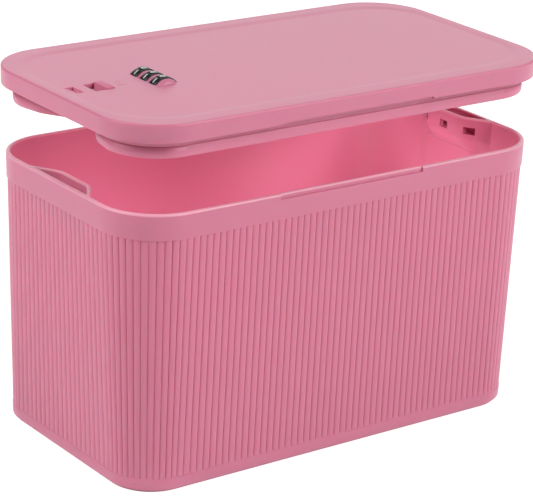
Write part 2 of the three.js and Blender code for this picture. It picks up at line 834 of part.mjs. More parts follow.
function latchBolt() {
  const right = boltBodyLeft + boltBodyLength;
  const body = box(boltBodyLeft, right, -boltHalfWidth, boltHalfWidth, boltBottom, boltTop);
  const fenceYs = dialYs.map((y) => y + discFrom);
  const armTo = fenceYs[0] + discThickness + fenceMargin;
  const armFrom = fenceYs[dialCount - 1] - fenceMargin;
  const arm = box(right - 1, fenceX + fenceLength + fenceMargin, armFrom, armTo, boltBottom, boltTop);
  const blades = fenceYs.map((y) =>
    box(fenceX, fenceX + fenceLength, y, y + discThickness, boltTop - 1, axisZ - fenceTop),
  );
  const tongues = slotYs.map((y) => tongue(-1, y, -boltBodyLeft - tongueLap, -gap));
  const screwHole = rodZ(knobScrewRadius + hole, boltBottom - 1, boltTop + 1, knobCentreX, lockY, boreSides);
  const seatTop = boltBottom + screwHeadHeight;
  const headSeat = rodZ(screwHeadRadius + hole, boltBottom - 1, seatTop, knobCentreX, lockY);
  const notches = [0, boltTravel].map((shift) => {
    const x = leafX + shift;
    const low = boltBottom - gap;
    return prismY(
      [[x - boltNotchHalf, low], [x + boltNotchHalf, low], [x, boltBottom + boltLeafRise]],
      boltLeafY - boltLeafWidth / 2 - gap,
      boltLeafY + boltLeafWidth / 2 + gap,
    );
  });
  return cut(join(body, arm, ...blades, ...tongues), screwHole, headSeat, ...notches);
}

function sliderKnob() {
  const top = box(
    knobCentreX - knobLength / 2,
    knobCentreX + knobLength / 2,
    lockY - knobHalfWidth,
    lockY + knobHalfWidth,
    plateUnder + gap,
    panelZ + knobProud,
  );
  const neck = box(
    knobCentreX - knobNeckLength / 2,
    knobCentreX + knobNeckLength / 2,
    lockY - knobNeckHalfWidth,
    lockY + knobNeckHalfWidth,
    boltTop + knobUnder,
    plateUnder + 2 * gap,
  );
  const grips = [-1, 0, 1].map((k) => {
    const x = knobCentreX + k * gripPitch;
    const z = panelZ + knobProud;
    const groove = [[x - gripHalf, z + gap / 2], [x, z - gripDepth], [x + gripHalf, z + gap / 2]];
    return prismY(groove, lockY - knobHalfWidth - 1, lockY + knobHalfWidth + 1);
  });
  const screwTop = knobScrewSeat + knobScrewLength + gap;
  const screwHole = rodZ(knobScrewRadius + hole, boltTop, screwTop, knobCentreX, lockY, boreSides);
  return cut(join(top, neck), ...grips, screwHole);
}

function screw(x, y, seatZ, length, radius, headRadius) {
  const head = rodZ(headRadius, seatZ - screwHeadHeight, seatZ, x, y);
  const shank = rodZ(radius, seatZ - gap, seatZ + length, x, y, boreSides);
  const reach = headRadius * driveShare;
  const low = seatZ - screwHeadHeight - 1;
  const high = seatZ - screwHeadHeight + driveDepth;
  const recess = [
    box(x - reach, x + reach, y - driveHalf, y + driveHalf, low, high),
    box(x - driveHalf, x + driveHalf, y - reach, y + reach, low, high),
  ];
  return cut(join(head, shank), ...recess);
}

// Click springs

function dialClickSpring() {
  const low = plateUnder - clickBossHeight - gap;
  const left = dialCentreX + dialRadius + 1;
  const right = clickBossX + bossRadius;
  const t = leafThickness;
  const flange = box(left, right, lockY - clickHalfWidth, lockY + clickHalfWidth, low - t, low);
  const tip = dialCentreX + dialRadius - dialNotchDepth + gap;
  const top = plateUnder - gap;
  const fingers = dialYs.map((y) =>
    prismY(
      [
        [left, low - t],
        [left + t, low - t],
        [left + t, axisZ - clickNoseHalf],
        [tip + t, axisZ],
        [left + t, axisZ + clickNoseHalf],
        [left + t, top],
        [left, top],
        [left, axisZ + clickNoseHalf],
        [tip, axisZ],
        [left, axisZ - clickNoseHalf],
      ],
      y - clickFingerWidth / 2,
      y + clickFingerWidth / 2,
    ),
  );
  const holes = [-1, 1].map((side) =>
    rodZ(knobScrewRadius + hole, low - 1, low + 1, clickBossX, lockY + side * clickScrewOffset, boreSides),
  );
  return cut(join(flange, ...fingers), ...holes);
}

function boltClickSpring() {
  const low = coverTop - leafRecess + gap / 2;
  const t = leafThickness;
  const rise = boltLeafRise + leafRecess - gap;
  const from = leafX - boltLeafLength / 4;
  const to = rivetX + boltLeafWidth / 2;
  const outline = [
    [from, low],
    [leafX - boltNotchHalf, low],
    [leafX, low + rise - t],
    [leafX + boltNotchHalf, low],
    [to, low],
    [to, low + t],
    [leafX + boltNotchHalf - t / 2, low + t],
    [leafX, low + rise],
    [leafX - boltNotchHalf + t / 2, low + t],
    [from, low + t],
  ];
  const leaf = prismY(outline, boltLeafY - boltLeafWidth / 2, boltLeafY + boltLeafWidth / 2);
  return cut(leaf, rodZ(rivetRadius + hole, low - 1, low + 1, rivetX, boltLeafY, boreSides));
}

function clickSpringRivet() {
  const low = coverBottom - gap / 2 - rivetHeadHeight;
  const shank = rodZ(rivetRadius, low + gap, coverTop - gap / 2, rivetX, boltLeafY, boreSides);
  const head = rodZ(rivetHeadRadius, low, low + rivetHeadHeight, rivetX, boltLeafY);
  return join(shank, head);
}

// The cover closes the bay and holds the spindle up in its cheeks
function lockCover() {
  const outer = bayHalfWidth + bayWall + coverLip;
  const left = bayLeft;
  const right = bayRight + bayWall + coverLip;
  const halfLength = (right - left) / 2;
  const outline = ring(halfLength, outer, coverCornerRadius, 0).map(([x, y]) => [x + (left + right) / 2, y]);
  const plate = prism(outline, coverBottom, coverTop);
  const posts = cheekSpans.map(([y0, y1]) =>
    box(
      dialCentreX - spindleRadius,
      dialCentreX + spindleRadius,
      y0 + gap,
      y1 - gap,
      coverTop - 1,
      axisZ - spindleRadius - gap,
    ),
  );
  const holes = screwSpots.map(([x, y]) =>
    rodZ(coverScrewRadius + hole, coverBottom - 1, coverTop + 1, x, y, boreSides),
  );
  const tabSlot = box(
    dialCentreX - tabWidth / 2 - slideGap,
    dialCentreX + tabWidth / 2 + slideGap,
    tabFrom - resetTravel - slideGap,
    tabFrom + tabWidth + slideGap,
    coverBottom - 1,
    coverTop + 1,
  );
  const leafSeat = box(
    leafX - boltLeafLength / 4 - leafSeatMargin,
    rivetX + boltLeafWidth / 2 + leafSeatMargin,
    boltLeafY - boltLeafWidth / 2 - gap,
    boltLeafY + boltLeafWidth / 2 + gap,
    coverTop - leafRecess,
    coverTop + 1,
  );
  const rivetHole = rodZ(rivetRadius + hole, coverBottom - 1, coverTop + 1, rivetX, boltLeafY, boreSides);
  return cut(join(plate, ...posts), ...holes, tabSlot, leafSeat, rivetHole);
}

// Materials
const finish = (color, roughness, metalness = 0) =>
  new THREE.MeshStandardMaterial({ color, roughness, metalness });
const pink = () => finish(0xd77f9b, 0.5);
const black = () => finish(0x1b1b1d, 0.35);
const cream = () => finish(0xe9e4dc, 0.55);
const steel = () => finish(0xb9bcc0, 0.3, 1);

function piece(name, body, material) {
  const mesh = new THREE.Mesh(geometryOf(body), material);
  mesh.name = name;
  return mesh;
}

const clickScrewZ = plateUnder - clickBossHeight - 2 * gap - leafThickness;
const raised = new THREE.Group();
raised.position.z = lidTopZ;
raised.add(
  piece("lid", lid(), pink()),
  piece("lock_cover", lockCover(), pink()),
  piece("latch_bolt", latchBolt(), pink()),
  piece("slider_knob", sliderKnob(), pink()),
  piece("dial_spindle", dialSpindle(), steel()),
  piece("spindle_clip", spindleClip(), steel()),
  piece("reset_spring", resetSpring(), steel()),
  piece("reset_lever", resetLever(), cream()),
  piece("dial_click_spring", dialClickSpring(), steel()),
  piece("bolt_click_spring", boltClickSpring(), steel()),
  piece("click_spring_rivet", clickSpringRivet(), steel()),
  piece(
    "knob_screw",
    screw(knobCentreX, lockY, knobScrewSeat, knobScrewLength, knobScrewRadius, screwHeadRadius),
    steel(),
  ),
);
for (const [k, [x, y]] of screwSpots.entries()) {
  const body = screw(x, y, coverBottom - gap, coverScrewLength, coverScrewRadius, coverScrewHeadRadius);
  raised.add(piece(`cover_screw_${k + 1}`, body, steel()));
}
for (const [k, side] of [-1, 1].entries()) {
  const y = lockY + side * clickScrewOffset;
  const body = screw(clickBossX, y, clickScrewZ, clickScrewLength, knobScrewRadius, screwHeadRadius);
  raised.add(piece(`click_spring_screw_${k + 1}`, body, steel()));
}
for (const [k, y] of dialYs.entries()) {
  raised.add(piece(`number_dial_${k + 1}`, numberDial(y), black()));
  raised.add(piece(`code_sleeve_${k + 1}`, codeSleeve(y), cream()));
}

const group = new THREE.Group();
group.add(piece("tub", tub(), pink()), raised);

export default group;
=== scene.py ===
import json
import math

import bmesh
import bpy
from mathutils import Matrix, Vector


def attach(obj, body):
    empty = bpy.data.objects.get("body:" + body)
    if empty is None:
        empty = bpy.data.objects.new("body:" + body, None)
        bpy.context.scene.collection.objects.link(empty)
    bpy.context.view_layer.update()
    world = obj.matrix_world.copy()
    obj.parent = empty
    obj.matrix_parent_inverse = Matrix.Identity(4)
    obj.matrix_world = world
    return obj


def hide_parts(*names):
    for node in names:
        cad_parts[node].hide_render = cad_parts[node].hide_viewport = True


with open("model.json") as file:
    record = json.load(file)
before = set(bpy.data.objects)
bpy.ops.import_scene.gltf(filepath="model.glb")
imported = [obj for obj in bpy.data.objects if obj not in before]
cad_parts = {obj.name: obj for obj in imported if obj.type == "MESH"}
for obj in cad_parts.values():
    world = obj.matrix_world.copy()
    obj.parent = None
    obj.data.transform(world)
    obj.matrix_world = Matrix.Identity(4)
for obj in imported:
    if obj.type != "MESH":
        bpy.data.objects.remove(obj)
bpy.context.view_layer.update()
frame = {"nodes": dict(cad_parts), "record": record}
nodes = frame["nodes"]
mm = 0.001
flatFaceArea = 150 * mm * mm  # larger faces are flat panels and are shaded so
print("frame loaded with", len(nodes), "nodes")

# Small tools


def linkObject(name, data):
    obj = bpy.data.objects.new(name, data)
    bpy.context.scene.collection.objects.link(obj)
    return obj


def meshFrom(name, points, faces):
    data = bpy.data.meshes.new(name)
    data.from_pydata(points, [], faces)
    data.validate()
    return data


def finishMesh(obj, material, sharpAngle=32):
    data = obj.data
    data.materials.clear()
    data.materials.append(material)
    data.shade_smooth()
    data.set_sharp_from_angle(angle=math.radians(sharpAngle))
    for face in data.polygons:
        face.use_smooth = face.area < flatFaceArea
    return obj


def evaluatedMesh(obj):
    graph = bpy.context.evaluated_depsgraph_get()
    return bpy.data.meshes.new_from_object(obj.evaluated_get(graph), depsgraph=graph)


def bake(obj):  # live modifiers become a plain mesh
    bpy.context.view_layer.update()
    made = evaluatedMesh(obj)
    obj.modifiers.clear()
    obj.data = made
    return obj


def combine(obj, others, operation):
    for other in others:
        cutter = linkObject("cutter", other) if isinstance(other, bpy.types.Mesh) else other
        step = obj.modifiers.new("step", "BOOLEAN")
        step.operation = operation
        step.solver = "MANIFOLD"
        step.object = cutter
        bake(obj)
        bpy.data.objects.remove(cutter)
    return obj


def meshOf(name, work):
    data = bpy.data.meshes.new(name)
    work.to_mesh(data)
    work.free()
    return data


def editMesh(data, edit):  # runs an edit on a mesh's bmesh
    work = bmesh.new()
    work.from_mesh(data)
    edit(work)
    work.to_mesh(data)
    work.free()
    return data


def faceOutward(work):
    bmesh.ops.remove_doubles(work, verts=work.verts, dist=1e-6)
    bmesh.ops.recalc_face_normals(work, faces=work.faces)


def rounded(radius, steps):  # the two steps back from a corner, all along its rounding
    turns = [math.radians(90 * k / steps) for k in range(steps + 1)]
    return [(radius * (1 - math.sin(a)), radius * (1 - math.cos(a))) for a in turns]


def fullTurn(steps):
    return [2 * math.pi * k / steps for k in range(steps)]


def arc(x, y, radius, turns):
    return [(x + radius * math.cos(a), y + radius * math.sin(a)) for a in turns]


def ringPoints(halfLength, halfWidth, radius, z, bow=None, steps=20, bowSteps=36):
    points = []
    centreX, centreY = halfLength - radius, halfWidth - radius
    for sideX, sideY, start in ((1, -1, -90), (1, 1, 0), (-1, 1, 90), (-1, -1, 180)):
        for k in range(steps + 1):
            angle = math.radians(start + 90 * k / steps)
            x = sideX * centreX + radius * math.cos(angle)
            points.append((x, sideY * centreY + radius * math.sin(angle), z))
        if bow and start in (-90, 90):
            reach = min(bow["half"], centreY - 0.3)
            for k in range(1, bowSteps):
                y = sideX * reach * (2 * k / bowSteps - 1)
                points.append((sideX * (halfLength - bow["shape"](y)), y, z))
    return points


def loftMesh(name, rings, loop=False):  # rings in mm joined in order, capped unless they close a loop
    count = len(rings[0])
    points = [(x * mm, y * mm, z * mm) for ring in rings for x, y, z in ring]
    faces = []
    for r in range(len(rings) if loop else len(rings) - 1):
        up = (r + 1) % len(rings) * count
        for i in range(count):
            j = (i + 1) % count
            faces.append((r * count + i, r * count + j, up + j, up + i))
    if not loop:
        faces += [tuple(reversed(range(count))), tuple(range(len(points) - count, len(points)))]
    return editMesh(meshFrom(name, points, faces), faceOutward)


def boxMesh(name, x0, x1, y0, y1, z0, z1):
    return loftMesh(name, [[(x0, y0, z), (x1, y0, z), (x1, y1, z), (x0, y1, z)] for z in (z0, z1)])


def newTree(kind, name, ins, outs):  # a Shader or Geometry group with its named sockets
    tree = bpy.data.node_groups.new(name, kind + "NodeTree")
    for way, rows in (("INPUT", ins), ("OUTPUT", outs)):
        for label, sort, *value in rows:
            item = tree.interface.new_socket(name=label, in_out=way, socket_type="NodeSocket" + sort)
            if value:
                item.default_value = value[0]
    return tree, tree.nodes.new("NodeGroupInput").outputs, tree.nodes.new("NodeGroupOutput").inputs


def feed(socket, value):  # from another node's socket, or a plain value
    if isinstance(value, bpy.types.NodeSocket):
        socket.id_data.links.new(value, socket)
    else:
        socket.default_value = value


def feedAll(sockets, values):
    for label, value in values.items():
        feed(sockets[label], value)


def adder(tree):  # gives a function that adds a node to this tree, sets it up and feeds its inputs
    def add(kind, inputs=None, **setup):
        node = tree.nodes.new(kind)
        for label, value in setup.items():
            setattr(node, label, value)
        feedAll(node.inputs, inputs or {})
        return node

    return add


def calculator(tree):  # gives a function that adds a math node to this tree
    def calc(operation, *values, clamp=False):
        made = adder(tree)("ShaderNodeMath", dict(enumerate(values)), operation=operation, use_clamp=clamp)
        return made.outputs[0]

    return calc


# Shader groups

skinOuts = [("Colour", "Color"), ("Roughness", "Float"), ("Height", "Float")]


def buildMouldedSkin():  # cloudy tone of moulded plastic with a fine grain
    ins = [
        ("Colour", "Color", (0.7, 0.3, 0.4, 1)),
        ("Tone", "Float", 0.03),
        ("Cloud Size", "Float", 0.03),
        ("Grain Size", "Float", 0.0006),
        ("Roughness", "Float", 0.4),
        ("Roughness Spread", "Float", 0.06),
    ]
    tree, given, result = newTree("Shader", "mouldedSkin", ins, skinOuts)
    add, calc = adder(tree), calculator(tree)
    place = add("ShaderNodeTexCoord").outputs["Object"]

    def noise(size, detail):
        scale = calc("DIVIDE", 1, size)
        return add("ShaderNodeTexNoise", {"Vector": place, "Scale": scale, "Detail": detail}).outputs["Fac"]

    def spread(mask, amount, centre):
        return calc("MULTIPLY_ADD", calc("SUBTRACT", mask, 0.5), amount, centre)

    cloud = noise(given["Cloud Size"], 3)
    grain = noise(given["Grain Size"], 2)
    tone = spread(cloud, given["Tone"], 1.0)
    tint = add("ShaderNodeHueSaturation", {"Color": given["Colour"], "Value": tone})
    feed(result["Colour"], tint.outputs["Color"])
    feed(result["Roughness"], spread(grain, given["Roughness Spread"], given["Roughness"]))
    feed(result["Height"], grain)
    return tree


def buildDrawnMetalSkin():  # fine drawn lines of plated wire and sheet
    ins = [
        ("Colour", "Color", (0.6, 0.6, 0.6, 1)),
        ("Line Size", "Float", 0.0004),
        ("Roughness", "Float", 0.3),
    ]
    tree, given, result = newTree("Shader", "drawnMetalSkin", ins, skinOuts)
    add, calc = adder(tree), calculator(tree)
    place = add("ShaderNodeTexCoord").outputs["Object"]
    stretched = add("ShaderNodeMapping", {"Vector": place, "Scale": (1, 0.08, 1)}).outputs["Vector"]
    scale = calc("DIVIDE", 1, given["Line Size"])
    line = add("ShaderNodeTexNoise", {"Vector": stretched, "Scale": scale}).outputs["Fac"]
    level = add("ShaderNodeMapRange", {"Value": line, "To Min": 0.86, "To Max": 1.1}).outputs["Result"]
    tint = add("ShaderNodeHueSaturation", {"Color": given["Colour"], "Value": level})
    feed(result["Colour"], tint.outputs["Color"])
    feed(result["Roughness"], calc("MULTIPLY_ADD", line, 0.2, given["Roughness"]))
    feed(result["Height"], line)
    return tree


def buildPaleAbove():  # a colour that turns paler above a height of the piece, to paint light onto a lit top edge
    ins = [
        ("Colour", "Color", (0.7, 0.3, 0.4, 1)),
        ("Pale Colour", "Color", (0.8, 0.4, 0.5, 1)),
        ("Low", "Float", 0.1),
        ("High", "Float", 0.11),
    ]
    tree, given, result = newTree("Shader", "paintedLightAbove", ins, [("Colour", "Color")])
    add = adder(tree)
    split = add("ShaderNodeSeparateXYZ", {0: add("ShaderNodeTexCoord").outputs["Object"]})
    span = {"Value": split.outputs["Z"], "From Min": given["Low"], "From Max": given["High"]}
    level = add("ShaderNodeMapRange", span, interpolation_type="SMOOTHSTEP").outputs["Result"]
    tones = {"Factor": level, "A": given["Colour"], "B": given["Pale Colour"]}
    feed(result["Colour"], add("ShaderNodeMix", tones, data_type="RGBA").outputs["Result"])
    return tree


mouldedSkin = buildMouldedSkin()
drawnMetalSkin = buildDrawnMetalSkin()
paintedLightAbove = buildPaleAbove()

# Materials


def surface(name, values, bump, group=mouldedSkin, **fixed):
    material = bpy.data.materials.new(name)
    material.use_nodes = True
    add = adder(material.node_tree)
    skin = add("ShaderNodeGroup", values, node_tree=group).outputs
    relief = add("ShaderNodeBump", {"Strength": bump[0], "Distance": bump[1], "Height": skin["Height"]})
    made = {"Base Color": skin["Colour"], "Roughness": skin["Roughness"], "Normal": relief.outputs["Normal"]}
    feedAll(material.node_tree.nodes["Principled BSDF"].inputs, {**fixed, **made})
    return material


looks = {
    "pink": (0.655, 0.208, 0.32, 1),
    # painted light: the paler pink of the tub's lit rim top
    "paintedRimLight": (0.8, 0.4, 0.5, 1),
    "black": (0.012, 0.012, 0.014, 1),
    "cream": (0.8, 0.77, 0.71, 1),
    "white": (0.86, 0.86, 0.85, 1),
    "steel": (0.58, 0.59, 0.6, 1),
}
pinkLook = {
    "Colour": looks["pink"],
    "Tone": 0.05,
    "Cloud Size": 0.06,
    "Grain Size": 0.0009,
    "Roughness": 0.38,
}
pinkDepth = {"Subsurface Weight": 0.5, "Subsurface Scale": 0.004, "Subsurface Radius": (1.0, 0.2, 0.3)}
pinkGrain = (0.12, 0.00006)
pinkPlastic = surface("pinkPlastic", pinkLook, pinkGrain, **pinkDepth)
tubPlastic = surface("tubPlastic", pinkLook, pinkGrain, **pinkDepth)
signPlastic = surface("signPlastic", pinkLook, pinkGrain)  # too thin for light to pass in
blackPlastic = surface(
    "blackPlastic",
    {"Colour": looks["black"], "Tone": 0.3, "Cloud Size": 0.004, "Grain Size": 0.0005, "Roughness": 0.3},
    (0.1, 0.00003),
)
creamPlastic = surface(
    "creamPlastic",
    {"Colour": looks["cream"], "Tone": 0.05, "Cloud Size": 0.01, "Grain Size": 0.0006, "Roughness": 0.45},
    (0.1, 0.00004),
)
digitPaint = surface(
    "digitPaint",
    {"Colour": looks["white"], "Tone": 0.08, "Cloud Size": 0.002, "Grain Size": 0.0003, "Roughness": 0.5},
    (0.05, 0.00002),
)
platedSteel = surface(
    "platedSteel",
    {"Colour": looks["steel"], "Line Size": 0.0005, "Roughness": 0.22},
    (0.08, 0.00002),
    drawnMetalSkin,
    Metallic=1.0,
)
print("materials ready")

finishOf = {
    "steel": platedSteel,
    "white_plastic": creamPlastic,
    "black_plastic": blackPlastic,
    "pink_plastic": pinkPlastic,
}
slotOf = {row["node"]: row.get("material_slot") for row in frame["record"]["subparts"]}
for name, obj in nodes.items():
    obj.data.materials.clear()
    obj.data.materials.append(finishOf[slotOf[name]])

# Tub

tubSettings = {
    "height": 181.0,
    "rimLength": 320.0,
    "rimWidth": 175.0,
    "rimCorner": 38.0,
    "baseLength": 306.0,
    "baseWidth": 168.0,
    "baseCorner": 30.0,
    "longRibs": 51,
    "shortRibs": 20,
    "cornerRibs": 12,
    "pointsPerRib": 7,
    "ribDepth": 0.85,
    "ribRoundness": 3.0,
    "ribSharpness": 0.62,
    "grooveFocus": 0.62,
    "ribInset": 0.6,
    "ribTop": 164.5,
    "ribRows": (110, 60),
    "stripTop": 9.0,
    "stripInset": 0.3,
    "footHeight": 1.4,
    "footInset": 2.4,
    "footRing": 3.5,
    "footRecess": 0.8,
    "floorThickness": 2.2,
    "floorFillet": 5.0,
    "baseWall": 3.4,
    "midWall": 2.9,
    "midHeight": 95,
    "rimWall": 2.9,
    "rimLipHeight": 16.0,
    "rimInnerRounding": 0.7,
    "rimOuterRounding": 1.3,
    # height band of the painted light on the rim top
    "paintedLightFrom": 179.4,
    "paintedLightTo": 180.2,
}


# paints light onto the tub's rim top: the colour turns paler above a height
def addPaleRim(material, low, high):
    base = material.node_tree.nodes["Principled BSDF"].inputs["Base Color"]
    skin = base.links[0].from_socket
    tones = {"Colour": skin, "Pale Colour": looks["paintedRimLight"], "Low": low, "High": high}
    rim = adder(material.node_tree)("ShaderNodeGroup", tones, node_tree=paintedLightAbove)
    feed(base, rim.outputs["Colour"])


# Rows of (inset, share of rib depth, height), from the inner floor over the rim to the foot
def tubProfile(s):
    floorZ, fillet = s["footRecess"] + s["floorThickness"], s["floorFillet"]
    rows = [(s["baseWall"] + x, 0, floorZ + z) for x, z in rounded(fillet, 6)]
    top = s["height"]
    wall, inner, outer = s["rimWall"], s["rimInnerRounding"], s["rimOuterRounding"]
    rows += [(s["midWall"], 0, s["midHeight"]), (wall - 0.1, 0, top - s["rimLipHeight"])]
    rows += [(wall - x, 0, top - z) for z, x in rounded(inner, 4)]
    rows += [(x, 0, top - z) for x, z in rounded(outer, 5)]
    low, ribs = s["ribTop"], s["ribInset"]
    rows += [(0, 0, low + 0.5), (0.08, 0, low + 0.2), (0.3, 0, low), (ribs, 1, low - 0.02)]
    rows += [(ribs, 1, z) for z in s["ribRows"]]
    base, strip = s["stripTop"], s["stripInset"]
    for rise, share in ((3.6, 1), (2.4, 0.97), (1.5, 0.86), (0.8, 0.66), (0.3, 0.36), (0, 0)):
        rows.append((ribs, share, base + rise))
    rows += [(strip + 0.1, 0, base - 0.02), (strip, 0, base - 0.2)]
    foot, edge = s["footHeight"], s["footInset"]
    for inset, rise in ((0, 1.6), (0.1, 1.0), (0.45, 0.5), (1.0, 0.13), (1.6, 0)):
        rows.append((strip + inset, 0, foot + rise))
    far = edge + s["footRing"]
    rows += [(edge, 0, foot), (edge, 0, 0.35), (edge + 0.12, 0, 0.08), (edge + 0.4, 0, 0)]
    rows += [(far - 0.2, 0, 0), (far, 0, 0.2), (far, 0, s["footRecess"])]
    return rows


wallCounts = ["longRibs", "shortRibs", "cornerRibs", "pointsPerRib"]
wallLengths = ["height", "rimLength", "rimWidth", "rimCorner"]
wallLengths += ["baseLength", "baseWidth", "baseCorner", "ribDepth"]
wallShapes = ["ribRoundness", "ribSharpness", "grooveFocus"]


def socketLabel(key):  # longRibs becomes Long Ribs
    return "".join(" " + letter if letter.isupper() else letter for letter in key).title()


def buildWallTree():
    ins = [("Section", "Object"), ("Rows", "Int")]
    ins += [(socketLabel(key), "Int") for key in wallCounts]
    ins += [(socketLabel(key), "Float") for key in wallLengths + wallShapes] + [("Material", "Material")]
    tree, given, result = newTree("Geometry", "reededTubWall", ins, [("Geometry", "Geometry")])
    add, calc = adder(tree), calculator(tree)

    def mix(share, a, b):
        return calc("MULTIPLY_ADD", share, calc("SUBTRACT", b, a), a)

    # columns run round the outline, rows run along the section
    sides = calc("ADD", given["Long Ribs"], given["Short Ribs"])
    ribCount = calc("MULTIPLY", calc("ADD", sides, calc("MULTIPLY", given["Corner Ribs"], 2)), 2)
    columns = calc("MULTIPLY_ADD", ribCount, given["Points Per Rib"], 1)
    spans = {"Size X": 1.0, "Size Y": 1.0, "Vertices X": columns, "Vertices Y": given["Rows"]}
    grid = add("GeometryNodeMeshGrid", spans)
    spot = add("ShaderNodeSeparateXYZ", {0: add("GeometryNodeInputPosition").outputs[0]})
    along = calc("MULTIPLY", calc("ADD", spot.outputs["X"], 0.5), ribCount)
    lastRow = calc("SUBTRACT", given["Rows"], 1)
    row = calc("ROUND", calc("MULTIPLY", calc("ADD", spot.outputs["Y"], 0.5), lastRow))

    # inset, rib share and height of this row
    info = add("GeometryNodeObjectInfo", {"Object": given["Section"]})
    place = add("GeometryNodeInputPosition").outputs[0]
    picked = {"Geometry": info.outputs["Geometry"], "Value": place, "Index": row}
    sample = add("GeometryNodeSampleIndex", picked, data_type="FLOAT_VECTOR")
    inset, share, height = add("ShaderNodeSeparateXYZ", {0: sample.outputs["Value"]}).outputs

    # place within one rib, with more points near the groove
    rib = calc("FLOOR", calc("ADD", along, 0.001))
    part = calc("SUBTRACT", along, rib)
    wave = calc("SINE", calc("MULTIPLY", part, 2 * math.pi))
    part = calc("SUBTRACT", part, calc("MULTIPLY", wave, calc("DIVIDE", given["Groove Focus"], 2 * math.pi)))
    along = calc("ADD", rib, part)
    bend = calc("ABSOLUTE", calc("MULTIPLY_ADD", part, 2.0, -1.0))
    crest = calc("SUBTRACT", 1.0, calc("POWER", bend, given["Rib Roundness"]), clamp=True)
    groove = calc("SUBTRACT", 1.0, calc("POWER", crest, given["Rib Sharpness"]), clamp=True)
    sink = calc("MULTIPLY", calc("MULTIPLY", groove, share), given["Rib Depth"])

    # place round the outline: half a turn, then a long side, a corner, a short side and a corner
    halfCount = calc("DIVIDE", ribCount, 2)
    half = calc("FLOOR", calc("DIVIDE", calc("ADD", along, 0.0001), halfCount))
    place = calc("SUBTRACT", along, calc("MULTIPLY", half, halfCount))

    def passed(start, ribs):  # 0 to 1 along one side or corner
        return calc("DIVIDE", calc("SUBTRACT", place, start), ribs, clamp=True)

    longSide = calc("DIVIDE", place, given["Long Ribs"], clamp=True)
    firstCorner = passed(given["Long Ribs"], given["Corner Ribs"])
    before = calc("ADD", given["Long Ribs"], given["Corner Ribs"])
    shortSide = passed(before, given["Short Ribs"])
    nextCorner = passed(calc("ADD", before, given["Short Ribs"]), given["Corner Ribs"])
    angle = calc("MULTIPLY", calc("SUBTRACT", calc("ADD", firstCorner, nextCorner), 1.0), math.pi / 2)

    level = calc("DIVIDE", height, given["Height"])
    radius = mix(level, given["Base Corner"], given["Rim Corner"])
    inward = calc("MULTIPLY", radius, -1)
    reach = calc("SUBTRACT", calc("SUBTRACT", radius, inset), sink)

    def centre(part, base, rim):  # middle of the rounding, while a side runs from end to end
        straight = calc("MULTIPLY_ADD", mix(level, given[base], given[rim]), 0.5, inward)
        return calc("MULTIPLY", calc("MULTIPLY_ADD", part, 2.0, -1.0), straight)

    x = calc("MULTIPLY_ADD", reach, calc("COSINE", angle), centre(longSide, "Base Length", "Rim Length"))
    y = calc("MULTIPLY_ADD", reach, calc("SINE", angle), centre(shortSide, "Base Width", "Rim Width"))
    point = add("ShaderNodeCombineXYZ", {"X": x, "Y": y, "Z": height}).outputs[0]
    spin = {"Vector": point, "Angle": calc("MULTIPLY", half, math.pi)}
    turn = add("ShaderNodeVectorRotate", spin, rotation_type="Z_AXIS")
    move = add("GeometryNodeSetPosition", {"Geometry": grid.outputs["Mesh"], "Position": turn.outputs[0]})
    weld = add("GeometryNodeMergeByDistance", {"Geometry": move.outputs[0], "Distance": 0.000002})
    real = add("GeometryNodeRealizeInstances", {0: weld.outputs[0]})
    paint = add("GeometryNodeSetMaterial", {"Geometry": real.outputs[0], "Material": given["Material"]})
    feed(result[0], paint.outputs[0])
    return tree


def setInputs(modifier, values):
    rows = modifier.node_group.interface.items_tree
    sockets = {item.name: item.identifier for item in rows if item.in_out == "INPUT"}
    for label, value in values.items():
        modifier[sockets[label]] = value


def closeHoles(work):
    bmesh.ops.holes_fill(work, edges=[edge for edge in work.edges if edge.is_boundary], sides=0)
    bmesh.ops.recalc_face_normals(work, faces=work.faces)


pocketSettings = {
    "bowDepth": 11.1,
    "bowFlatHalf": 12.0,
    "bowHalf": 38.0,
    "bowHalfSteps": 36,
    "bowWall": 2.6,
    "bowBlend": 9.0,
    "bowRounding": 0.9,
    "rimWall": 2.4,
    "bowHeight": 15.0,
    "bowSlope": 12.0,
    "pocketWall": 2.9,
    "pocketDepth": 13.5,
    "slotPitch": 22.0,
    "slotWidth": 7.5,
    "slotHeight": 5.0,
    "slotBelowRim": 6.5,
    "notchLength": 110.0,
    "notchDepth": 3.5,
    "notchWall": 1.2,
}
endFace = tubSettings["rimLength"] / 2 - pocketSettings["rimWall"]
slotYs = [pocketSettings["slotPitch"] * k for k in (-1, 0, 1)]


def bowAt(y):
    p = pocketSettings
    share = min(max((abs(y) - p["bowFlatHalf"]) / (p["bowHalf"] - p["bowFlatHalf"]), 0), 1)
    return p["bowDepth"] * (1 + math.cos(math.pi * share)) / 2


def bowHalfWall(y):  # half the catch wall's thickness, which fades out where it meets the end wall
    p = pocketSettings
    share = min((p["bowHalf"] - abs(y)) / p["bowBlend"], 1)
    return p["bowWall"] / 2 * share * share * (3 - 2 * share)


def tubHalfLength(z):
    s = tubSettings
    return (s["baseLength"] + (s["rimLength"] - s["baseLength"]) * z / s["height"]) / 2


